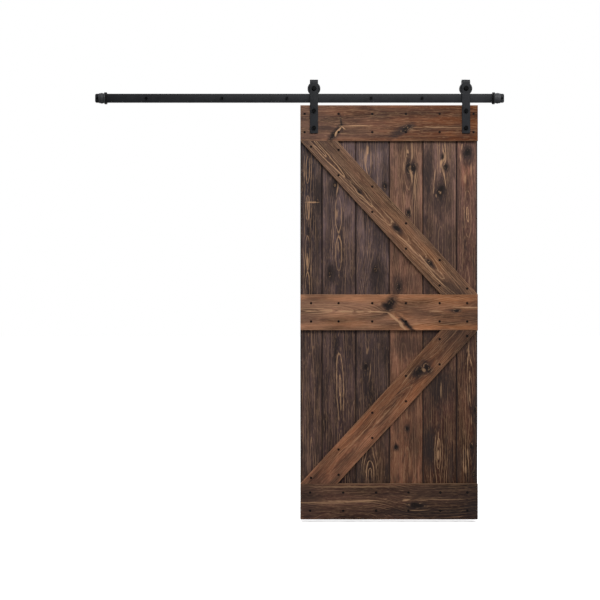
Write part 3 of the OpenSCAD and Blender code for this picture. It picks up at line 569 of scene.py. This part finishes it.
        # painted shade of the countersinks: a dark ring round each screw
        rings = [(*screw, SCREW_SHADE_RADIUS, SCREW_SHADE_RADIUS, 0.9) for screw in screw_places(node, slant)]
        rings = ovals_mask(add, place, rings, 0.0, 0.25)
        colour = add("Mix", inputs={"Factor": rings, "A": colour, "B": countersink_shade}, **COLOURS)

    height = add("Math MULTIPLY_ADD", late, 0.5, fibre_cloud)
    height = add("Math MULTIPLY_ADD", cores, -0.6, height)
    bump = add("Bump", inputs={"Height": height, "Strength": 0.55, "Distance": 0.7 * MM})
    add("OutputMaterial", add("BsdfPrincipled", inputs={
        "Base Color": colour, "Roughness": 0.66, "Specular IOR Level": 0.12, "Normal": bump}))
    return material


# ---- metals and rubber ----------------------------------------------------------------------


def coated(name, colour, roughness, grain_mm=1.2, specular=0.35, cloud=0.25, metallic=0.0):
    """Paint, oxide or rubber over an even base: clouds of tone a few centimetres wide, and a
    pebbled skin of the given grain that spreads the reflections."""
    material, add = new_material(name)
    place = add("Mapping", add("TexCoord", out="Object"), inputs={"Scale": (1 / MM,) * 3})
    clouds = grain_noise(add, place, (50, 50, 50), 1, Detail=4)
    pebbles = grain_noise(add, place, (grain_mm,) * 3, 2, Detail=2)
    tone, speckle = (add("MapRange", noise, 0.3, 0.7, 1 - cloud, 1 + cloud)
                     for noise in (clouds, pebbles))
    shade = add("VectorMath SCALE", linear(colour)[:3],
                inputs={"Scale": add("Math MULTIPLY", tone, speckle)})
    add("OutputMaterial", add("BsdfPrincipled", inputs={
        "Base Color": shade, "Metallic": metallic, "Specular IOR Level": specular,
        "Roughness": add("MapRange", clouds, 0.3, 0.7, roughness - 0.06, roughness + 0.06),
        "Normal": add("Bump", inputs={"Height": pebbles, "Strength": 0.3,
                                      "Distance": 0.1 * MM})}))
    return material


def powder_coat():
    """Powder coat, sprayed on and baked: black, satin, with a faint orange peel."""
    return bpy.data.materials.get("powder_coated_steel") or coated(
        "powder_coated_steel", "#17181b", 0.46, grain_mm=1.6, specular=0.16)


def black_oxide():
    """A thin black skin on turned and headed steel, darker and smoother than paint."""
    return bpy.data.materials.get("black_oxide_steel") or coated(
        "black_oxide_steel", "#060607", 0.32, grain_mm=0.8, specular=0.07)


# ---- surfaces -----------------------------------------------------------------------------------
# A shell is a grid of points (rows, columns, xyz) whose columns close into rings. Its rows
# close too, or else end in flat caps.


def shell_faces(points, closed):
    """Quads of a grid shell and its caps, all facing outwards."""
    rows, columns = points.shape[:2]
    index = np.arange(rows * columns).reshape(rows, columns)
    beside, above = np.roll(index, -1, axis=1), np.roll(index, -1, axis=0)
    last = rows if closed else rows - 1
    quads = np.stack((index, beside, np.roll(above, -1, axis=1), above), axis=-1)[:last]
    quads = quads.reshape(-1, 4)
    caps = [] if closed else [index[0][::-1], index[-1]]
    fans = [np.stack((np.full(len(c) - 2, c[0]), c[1:-1], c[2:]), axis=1) for c in caps]
    triangles = np.concatenate((quads[:, :3], quads[:, [0, 2, 3]], *fans))
    corner = (points.reshape(-1, 3) - points.mean(axis=(0, 1)))[triangles]
    # the volume inside is a sixth of the sum of the corners' triple products
    volume = np.einsum("ij,ij->", corner[:, 0], np.cross(corner[:, 1], corner[:, 2]))
    way = 1 if volume > 0 else -1
    return [face[::way] for face in (*quads, *caps)]


def make_piece(name, material, body, replaced, shells):
    """An object of one or more shells, which stands for a CAD node and rides as it does."""
    faces, start = [], 0
    for points, closed in shells:
        faces += [(face + start).tolist() for face in shell_faces(points, closed)]
        start += points.shape[0] * points.shape[1]
    mesh = bpy.data.meshes.new(name)
    mesh.from_pydata(np.concatenate([p.reshape(-1, 3) for p, _ in shells]), [], faces)
    mesh.shade_smooth()
    mesh.set_sharp_from_angle(angle=math.radians(35))
    mesh.materials.append(material)
    piece = bpy.data.objects.new(name, mesh)
    bpy.context.scene.collection.objects.link(piece)
    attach(piece, body)
    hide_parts(replaced)


def bar_rings(path_length, middle, width, thickness, end_radius, ease):
    """Distance along a flat bar, and the two offsets of its section there, each a grid (rows,
    columns). The section is a rectangle with its corners eased by a quarter circle. Within the
    end radius of an end the half width is w/2 - r + sqrt(r^2 - (r - e)^2), with e the distance
    from the end, and the half thickness shrinks in the same way within the ease."""
    step = end_radius * (1 - np.cos(np.linspace(0, math.pi / 2, 16)))
    along = np.concatenate((step, middle, path_length - step[::-1]))[:, None]
    inset = np.minimum(along, path_length - along)

    def half(size, radius):
        return size / 2 - radius + np.sqrt(radius**2 - (radius - np.minimum(inset, radius)) ** 2)

    corner = np.repeat(np.arange(4), 5)
    angle = (corner + np.tile(np.linspace(0, 1, 5), 4)) * math.pi / 2
    side, face = np.where(corner % 3, -1, 1), np.where(corner < 2, 1, -1)
    sideways = side * (half(width, end_radius) - ease) + ease * np.cos(angle)
    proud = face * (half(thickness, ease) - ease) + ease * np.sin(angle)
    return along + 0 * angle, sideways, proud


def filleted(corners, steps=5):
    """A closed outline of corners (a, b, radius), each rounded by the arc that touches both of
    its sides: the arc starts r tan(turn/2) before the corner and turns about a centre r to the
    side."""
    corners = np.array(corners)
    point, radius = corners[:, :2], corners[:, 2:]
    into = point - np.roll(point, 1, axis=0)
    into /= np.linalg.norm(into, axis=1, keepdims=True)
    leaving = np.roll(into, -1, axis=0)
    left = np.stack((-into[:, 1], into[:, 0]), axis=1)
    turn = np.arctan2((leaving * left).sum(axis=1), (leaving * into).sum(axis=1))[:, None]
    start = point - into * radius * np.abs(np.tan(turn / 2))
    angle = (turn * np.linspace(0, 1, steps))[..., None]
    way = np.sign(turn)[..., None]
    swing = into[:, None] * np.sin(angle) * way + left[:, None] * (1 - np.cos(angle)) * way
    return (start[:, None] + radius[..., None] * swing).reshape(-1, 2)


def revolved(outline, centre, columns=72):
    """An outline (radius, along) turned about an axle in Y through the centre."""
    angle = np.linspace(0, 2 * math.pi, columns, endpoint=False)
    radius, along = outline[:, :1], outline[:, 1:]
    return np.stack((centre[0] + radius * np.cos(angle), centre[1] + along + 0 * angle,
                     centre[2] + radius * np.sin(angle)), axis=-1)


def screw_shell(centre, rows, flats, pitch, columns=48):
    """A screw or bolt along Y from rows (y, radius, hexagonal, ridge). On a hexagonal row the
    radius at an angle is the smaller of the row's own and flats / 2 / cos(angle from the middle
    of the flat), which draws the chamfered corners. On a threaded row the surface dips by up
    to the ridge, as a zigzag of y / pitch less the turn, which draws the helix."""
    y, radius, hexagonal, ridge = (rows[:, i : i + 1] for i in range(4))
    angle = np.linspace(0, 2 * math.pi, columns, endpoint=False)
    from_flat = np.mod(angle, math.pi / 3) - math.pi / 6
    hexagon = flats / 2 / np.cos(from_flat)
    reach = np.where(hexagonal > 0, np.minimum(radius, hexagon), radius)
    phase = np.mod(y / pitch - angle / (2 * math.pi), 1)
    reach = reach - ridge * np.abs(2 * phase - 1)
    return np.stack((centre[0] + reach * np.cos(angle), y + 0 * angle,
                     centre[1] + reach * np.sin(angle)), axis=-1), False


def hex_head(top, seat, flats):
    """Rows of a hexagon head with a 35 degree chamfer, which starts just inside its flats."""
    depth = np.append(np.linspace(0, 1.4 * MM, 9), seat - top)
    return np.stack((top + depth, flats * 0.48 + 1.4 * depth, depth * 0 + 1, depth * 0), axis=1)


def rod(start, end, radius, ridge=0.0, step=0.0, tip=0.0):
    """Rows of a round rod, threaded where it has a ridge, which narrows to a point over a tip."""
    y = np.linspace(start, end, 2 + (int((end - start) / step) if step else 0))
    left = np.clip((end - y) / tip, 0.1, 1) if tip else np.ones_like(y)
    return np.stack((y, radius * left, 0 * y, ridge * left), axis=1)


# ---- settings ---------------------------------------------------------------------------------


def colour_property(name, description, hex_colour):
    return bpy.props.FloatVectorProperty(
        name=name, description=description, subtype="COLOR", size=3, min=0, max=1,
        default=linear(hex_colour)[:3],
    )


def length_property(name, description, default):
    return bpy.props.FloatProperty(name=name, description=description, default=default,
                                   unit="LENGTH")


class WoodLooks(bpy.types.PropertyGroup):
    """Colours and ring sizes of the stained boards"""

    line_colour: colour_property("Latewood", "Pale lines that the stain leaves", "#b38c6a")
    # Soaked wood is also the colour of the painted shade under the rails and braces and in the
    # planks' joints
    smear_and_shade_colour: colour_property("Soaked wood", "Where the stain pools", "#2c2322")
    knot_rim: colour_property("Knot rim", "Wood just round a knot", "#2c2220")
    # Knot is also the colour of the painted shade round the screws
    knot_and_screw_shade_colour: colour_property("Knot", "Core of a knot", "#1a1311")
    fleck_strength: bpy.props.FloatProperty(
        name="Flecks", description="Strength of the short pale flecks", default=0.34, min=0, max=1)
    violet_shift: bpy.props.FloatVectorProperty(
        name="Violet patches", description="What the cooler patches multiply the stain by",
        size=3, default=(0.88, 0.9, 1.0))
    # Rubbed patches also lighten the painted highlights along the rails' edges
    rubbed_and_edge_light_shift: bpy.props.FloatVectorProperty(
        name="Rubbed patches", description="What the warm patches, where the stain was rubbed "
        "thin, multiply the stain by", size=3, default=(1.42, 1.24, 1.0))
    stain_level: bpy.props.FloatProperty(
        name="Stain level", description="Multiplies every board's stain", default=0.85,
        min=0.1, max=3)
    plank_ring: length_property(
        "Plank ring", "Spacing of the planks' bold rings, wider than true rings so that they "
        "show", 7.5 * MM)
    frame_ring: length_property(
        "Frame ring", "Spacing of the rails' and braces' bold rings", 6 * MM)


class HardwareSizes(bpy.types.PropertyGroup):
    """Sizes of the track, the hangers, the wheels and their bolts"""

    edge_ease: length_property("Edge ease", "Radius on the edges of the flat bars", 0.9 * MM)
    strap_corner: length_property(
        "Strap corner", "Radius of the corners of a strap's ends", 4 * MM)
    back_leg: length_property(
        "Back leg", "How far a strap reaches below its axle behind the track", 24 * MM)
    track_corner: length_property(
        "Track corner", "Radius of the corners of the track's ends", 8 * MM)
    tread_radius: length_property("Tread radius", "Radius of the wheel's groove", 25.7 * MM)
    groove_play: length_property(
        "Groove play", "Room between the groove's side and the track", 0.7 * MM)
    groove_flare: length_property(
        "Groove flare", "How much wider each side of the groove is at the rim", 1.5 * MM)
    hub_step: length_property("Hub step", "How far the wheel's hub lies back from its rim", 3 * MM)
    bolt_flats: length_property(
        "Bolt flats", "Size across the flats of the hangers' bolts", 19 * MM)
    lag_flats: length_property("Lag bolt flats", "Size across the flats of the lag bolts", 13 * MM)


class StudioLooks(bpy.types.PropertyGroup):
    """Camera, floor and lights"""

    camera_distance: length_property(
        "Camera distance", "From the door's face to the camera", 6.0)
    camera_drop: length_property(
        "Camera drop", "How far the camera stands below the middle of the track", 1.041)
    view_width: length_property("View width", "Width seen at the door's face", 3.09)
    floor_colour: colour_property("Floor", "Pale floor", "#fafafa")
    key_power: bpy.props.FloatProperty(
        name="Key light", description="Power of the large light above the front", default=99,
        unit="POWER")
    side_power: bpy.props.FloatProperty(
        name="Side light", description="Power of the small light at the right, which draws the "
        "straps' shadows", default=24, unit="POWER")
    back_power: bpy.props.FloatProperty(
        name="Back light", description="Power of the large light behind the wall's plane, for "
        "views from behind", default=60, unit="POWER")
    zenith: bpy.props.FloatProperty(
        name="Sky above", description="Strength of the light from straight above", default=1.0)
    horizon: bpy.props.FloatProperty(
        name="Sky at the horizon", description="Strength of the light from the side", default=0.15)


# ---- operators ----------------------------------------------------------------------------------


def brace_slant():
    """The braces' angle: each board of BRACE_WIDTH fills its field from corner to corner."""
    low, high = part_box("upper_brace")
    width, height = high.x - low.x, high.z - low.z
    return math.atan2(height, width) + math.asin(BRACE_WIDTH / math.hypot(width, height))


def bolt_heights(node):
    """Heights of the two bolts of a node: the middle of its points in the upper half of its
    box, and in the lower half."""
    z = mesh_points(node)[:, 2]
    middle = (z.min() + z.max()) / 2
    return [float(half.min() + half.max()) / 2 for half in (z[z < middle], z[z > middle])]


class DOOR_OT_planks(bpy.types.Operator):
    """Stains the six planks, each with its own growth rings and knots"""

    bl_idname = "door.planks"
    bl_label = "Planks"

    def execute(self, context):
        looks = context.scene.wood_looks
        for node, board in PLANKS.items():
            paint(stained_pine(node, board, math.pi / 2, looks, looks.plank_ring / MM,
                               line_strength=0.62, soaking=0.75, joint_shade=0.95), node)
        return {"FINISHED"}


class DOOR_OT_frame_boards(bpy.types.Operator):
    """Stains the three rails and the two braces"""

    bl_idname = "door.frame_boards"
    bl_label = "Rails and braces"

    def execute(self, context):
        looks = context.scene.wood_looks
        slants = {"upper_brace": -brace_slant(), "lower_brace": brace_slant()}
        for node, board in FRAME_BOARDS.items():
            paint(stained_pine(node, board, slants.get(node, 0.0), looks, looks.frame_ring / MM,
                               line_strength=0.7, soaking=0.35, edge_wear_and_light=0.3), node)
        return {"FINISHED"}


class DOOR_OT_track(bpy.types.Operator):
    """Rolls the track bar with eased edges, and cuts the lag bolts' heads and threads"""

    bl_idname = "door.track"
    bl_label = "Track"

    def execute(self, context):
        sizes = context.scene.hardware_sizes
        low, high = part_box("track_bar")
        middle = np.linspace(sizes.track_corner, high.x - low.x - sizes.track_corner, 24)[1:-1]
        along, sideways, proud = bar_rings(high.x - low.x, middle, high.z - low.z, high.y - low.y,
                                           sizes.track_corner, sizes.edge_ease)
        centre = (low + high) / 2
        bar = np.stack((low.x + along, centre.y + proud, centre.z + sideways), axis=-1)
        make_piece("rolled_track_bar", powder_coat(), "track", "track_bar",
                   [(bar, False)])

        bolt_low, bolt_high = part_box("lag_bolts")
        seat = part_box("lag_washers")[0].y
        # a plain shank as far as the wall, then the thread, which ends in a point 9 mm long
        rows = np.concatenate((
            hex_head(bolt_low.y, seat, sizes.lag_flats), rod(seat, 0, LAG_RADIUS),
            rod(0.2 * MM, bolt_high.y, LAG_RADIUS - 0.2 * MM, 1.1 * MM, LAG_PITCH / 8, 9 * MM)))
        shells = [screw_shell((mount["pos_m"][0], mount["pos_m"][2]), rows, sizes.lag_flats,
                              LAG_PITCH)
                  for mount in frame["record"]["mounts"] if mount["name"].startswith("lag_bolt")]
        make_piece("cut_lag_bolts", black_oxide(), "track", "lag_bolts", shells)
        return {"FINISHED"}


class DOOR_OT_hangers(bpy.types.Operator):
    """Bends the straps over the wheels and makes their bolts"""

    bl_idname = "door.hangers"
    bl_label = "Hangers"

    def execute(self, context):
        sizes = context.scene.hardware_sizes
        door_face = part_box("top_rail")[0].y
        for side in SIDES:
            low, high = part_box(f"hanger_strap_{side}")
            axle_low, axle_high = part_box(f"axle_bolt_{side}")
            axle_x, axle_z = (axle_low.x + axle_high.x) / 2, (axle_low.z + axle_high.z) / 2
            thickness = door_face - low.y
            outer = (high.y - low.y) / 2
            radius, bend_z = outer - thickness / 2, high.z - outer
            front, arc = bend_z - low.z, math.pi * radius
            length = front + arc + bend_z - (axle_z - sizes.back_leg)
            # rows lie close together round the bend, from 2 mm before it to 2 mm past it
            bend = np.linspace(front - 2 * MM, front + arc + 2 * MM, 44)
            along, sideways, proud = bar_rings(length, bend, high.x - low.x, thickness,
                                               sizes.strap_corner, sizes.edge_ease)
            # up the front leg, half round over the wheel, and down the back leg
            angle = np.clip((along - front) / radius, 0, math.pi)
            y = (low.y + high.y) / 2 - radius * np.cos(angle)
            z = (bend_z + radius * np.sin(angle) + np.minimum(along - front, 0)
                 - np.maximum(along - front - arc, 0))
            strap = np.stack((axle_x + sideways, y - proud * np.cos(angle),
                              z + proud * np.sin(angle)), axis=-1)
            make_piece(f"bent_strap_{side}", powder_coat(), "door",
                       f"hanger_strap_{side}", [(strap, False)])

            washer_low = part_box(f"door_washers_{side}")[0]
            bolts_low, bolts_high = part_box(f"door_bolts_{side}")
            rows = np.concatenate((hex_head(bolts_low.y, washer_low.y, sizes.bolt_flats),
                                   rod(washer_low.y, bolts_high.y, BOLT_RADIUS)))
            shells = [screw_shell((axle_x, z), rows, sizes.bolt_flats, BOLT_PITCH)
                      for z in bolt_heights(f"door_bolts_{side}")]
            make_piece(f"headed_door_bolts_{side}", black_oxide(), "door",
                       f"door_bolts_{side}", shells)

            # the head stands on its own flange, and the thread is cut behind the strap
            flange, flange_radius, ease = low.y - 2.5 * MM, 13 * MM, 0.6 * MM
            rows = np.concatenate((
                hex_head(axle_low.y, flange, sizes.bolt_flats),
                rod(flange, flange, flange_radius - ease)[:1],
                rod(flange + ease, low.y, flange_radius), rod(low.y, high.y, BOLT_RADIUS),
                rod(high.y + 0.1 * MM, axle_high.y, BOLT_RADIUS - 0.1 * MM, 1.0 * MM,
                    BOLT_PITCH / 8)))
            make_piece(f"flanged_axle_bolt_{side}", black_oxide(), "door",
                       f"axle_bolt_{side}",
                       [screw_shell((axle_x, axle_z), rows, sizes.bolt_flats, BOLT_PITCH)])
        return {"FINISHED"}


class DOOR_OT_wheels(bpy.types.Operator):
    """Turns the grooved wheels"""

    bl_idname = "door.wheels"
    bl_label = "Wheels"

    def execute(self, context):
        sizes = context.scene.hardware_sizes
        track_low, track_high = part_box("track_bar")
        groove = (track_high.y - track_low.y) / 2 + sizes.groove_play
        for side in SIDES:
            low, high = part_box(f"wheel_{side}")
            centre = (low + high) / 2
            rim, half = (high.x - low.x) / 2, (high.y - low.y) / 2
            bearing_low, bearing_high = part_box(f"bearing_outer_ring_{side}")
            # the bearing sits in its bore with a little play, in a hub wall of 3 mm
            bore = (bearing_high.x - bearing_low.x) / 2 + 0.02 * MM
            hub, step = bore + 3 * MM, sizes.hub_step
            # the front half of the wheel's section, as corners (radius, along, fillet)
            front = [(bore, half - step, 0.4 * MM), (hub, half - step, 1 * MM),
                     (hub + step, half, 1.2 * MM), (rim, half, 1.6 * MM),
                     (rim, groove + sizes.groove_flare, 0.7 * MM),
                     (sizes.tread_radius, groove, 0.8 * MM)]
            outline = filleted(front + [(r, -y, fillet) for r, y, fillet in reversed(front)])
            make_piece(f"turned_wheel_{side}", powder_coat(), f"wheel_{side}",
                       f"wheel_{side}", [(revolved(outline, centre), True)])
        return {"FINISHED"}


class DOOR_OT_hardware(bpy.types.Operator):
    """Finishes the stops, the standoffs, the bearings and the small fasteners"""

    bl_idname = "door.hardware"
    bl_label = "Small hardware"

    def execute(self, context):
        coat, oxide = powder_coat(), black_oxide()
        # ground bearing steel keeps its own bright colour
        ground = coated("ground_bearing_steel", "#c4c5c6", 0.22, grain_mm=0.5, specular=0.5,
                        cloud=0.06, metallic=1.0)
        rubber = coated("moulded_rubber", "#101010", 0.75, grain_mm=0.9, specular=0.15)
        # the stops take a lighter grey copy of the powder coat: painted light that their turned,
        # rounded faces catch
        lit_stop_coat = coated("powder_coat_lit_stops", "#2b2c2e", 0.55, grain_mm=2.0, specular=0.3)
        paint(coat, "standoffs", "lag_washers")
        paint(oxide, "end_screws", "top_rail_screws", "middle_rail_screws", "bottom_rail_screws",
              "upper_brace_screws", "lower_brace_screws")
        for side in SIDES:
            paint(lit_stop_coat, f"end_stop_{side}")
            paint(coat, f"sleeve_nuts_{side}", f"door_washers_{side}")
            paint(oxide, f"axle_nut_{side}", f"stop_grub_screw_{side}")
            paint(ground, f"axle_spacers_{side}", f"bearing_inner_ring_{side}",
                  f"bearing_outer_ring_{side}", f"bearing_balls_{side}", f"bearing_cage_{side}")
            paint(rubber, f"bumper_{side}", f"bearing_seals_{side}")
        return {"FINISHED"}


class DOOR_OT_studio(bpy.types.Operator):
    """Sets the floor, the lights, the plain surroundings and the camera"""

    bl_idname = "door.studio"
    bl_label = "Studio"

    def execute(self, context):
        looks = context.scene.studio_looks
        scene = context.scene
        scene.view_settings.view_transform = "Standard"
        low, high = CAD_BOX
        door_low, door_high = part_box("bottom_rail")
        # the door hangs 12 mm over a floor that reaches past every view
        reach, floor_z = 30.0, low.z - 12 * MM
        corners = ((-1, -1), (1, -1), (1, 1), (-1, 1))
        mesh = bpy.data.meshes.new("floor")
        mesh.from_pydata([(reach * x, reach * y, floor_z) for x, y in corners], [],
                         [(0, 1, 2, 3)])
        floor = bpy.data.objects.new("floor", mesh)
        scene.collection.objects.link(floor)
        # a matt sheet of white board: the camera sees it lit through, and what it throws back
        # on the door is no more than grey board would, so that shadows under the rails hold
        material, add = new_material("matt_board")
        in_view = add("LightPath", out="Is Camera Ray")
        board = add("Mix", inputs={"Factor": in_view, "A": (0.4, 0.4, 0.4, 1),
                                   "B": (*looks.floor_colour, 1)}, **COLOURS)
        glow = add("Math MULTIPLY", in_view, 0.3)
        add("OutputMaterial", add("BsdfPrincipled", inputs={
            "Base Color": board, "Roughness": 0.9, "Specular IOR Level": 0.1,
            "Emission Color": (1, 1, 1, 1), "Emission Strength": glow}))
        mesh.materials.append(material)

        # white behind the door, and a sky that is brightest overhead, so that the black
        # hardware mirrors something darker from the front than from above
        world = bpy.data.worlds.new("studio_sky")
        scene.world = world
        world.use_nodes = True
        world.node_tree.nodes.clear()
        add = partial(add_node, world.node_tree)
        height = add("SeparateXYZ", add("TexCoord", out="Generated"), out="Z")
        strength = add("MapRange", height, 0.0, 0.8, looks.horizon, looks.zenith, **SMOOTH)
        lights, seen = (add("Background", (1, 1, 1, 1), level) for level in (strength, 1.0))
        add("OutputWorld", add("MixShader", add("LightPath", out="Is Camera Ray"), lights, seen))

        centre = Vector(((door_low.x + door_high.x) / 2, door_low.y, (low.z + high.z) / 2))
        for name, power, width, height, offset in (
            ("key_light", looks.key_power, 3.0, 1.4, Vector((0.4, -2.4, 2.6))),
            ("side_light", looks.side_power, 0.5, 0.9, Vector((2.7, -1.1, 1.5))),
            ("back_light", looks.back_power, 3.0, 1.4, Vector((-0.4, 2.4, 2.0))),
        ):
            data = bpy.data.lights.new(name, "AREA")
            data.shape, data.size, data.size_y, data.energy = "RECTANGLE", width, height, power
            lamp = bpy.data.objects.new(name, data)
            scene.collection.objects.link(lamp)
            lamp.location = centre + offset
            lamp.rotation_euler = (-offset).to_track_quat("-Z", "Y").to_euler()

        data = bpy.data.cameras.new("camera")
        camera = bpy.data.objects.new("camera", data)
        scene.collection.objects.link(camera)
        scene.camera = camera
        data.sensor_width, data.clip_end = 36, 100
        data.lens = data.sensor_width * looks.camera_distance / looks.view_width
        # it stands 2 mm to the right of the middle of the track
        track = sum(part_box("track_bar"), Vector()) / 2
        camera.location = (track.x + 2 * MM, door_low.y - looks.camera_distance,
                           track.z - looks.camera_drop)
        camera.rotation_euler = (math.pi / 2, 0, 0)
        return {"FINISHED"}


class DOOR_PT_panel(bpy.types.Panel):
    """Lists the door's operators"""

    bl_label = "Barn door"
    bl_space_type = "VIEW_3D"
    bl_region_type = "UI"
    bl_category = "Barn door"

    def draw(self, context):
        for operator in OPERATORS:
            self.layout.operator(operator.bl_idname)
        for group in SETTINGS:
            settings = getattr(context.scene, group)
            for name in settings.bl_rna.properties.keys():
                if name not in ("rna_type", "name"):
                    self.layout.prop(settings, name)


SETTINGS = {"wood_looks": WoodLooks, "hardware_sizes": HardwareSizes, "studio_looks": StudioLooks}
OPERATORS = (DOOR_OT_planks, DOOR_OT_frame_boards, DOOR_OT_track, DOOR_OT_hangers, DOOR_OT_wheels,
             DOOR_OT_hardware, DOOR_OT_studio)
CLASSES = (*SETTINGS.values(), *OPERATORS, DOOR_PT_panel)


def register():
    for cls in CLASSES:
        bpy.utils.register_class(cls)
    for name, group in SETTINGS.items():
        setattr(bpy.types.Scene, name, bpy.props.PointerProperty(type=group))


def unregister():
    for name in SETTINGS:
        delattr(bpy.types.Scene, name)
    for cls in reversed(CLASSES):
        bpy.utils.unregister_class(cls)


def main():
    register()
    bpy.ops.door.planks()
    bpy.ops.door.frame_boards()
    bpy.ops.door.track()
    bpy.ops.door.hangers()
    bpy.ops.door.wheels()
    bpy.ops.door.hardware()
    bpy.ops.door.studio()


if __name__ == "__main__":
    main()
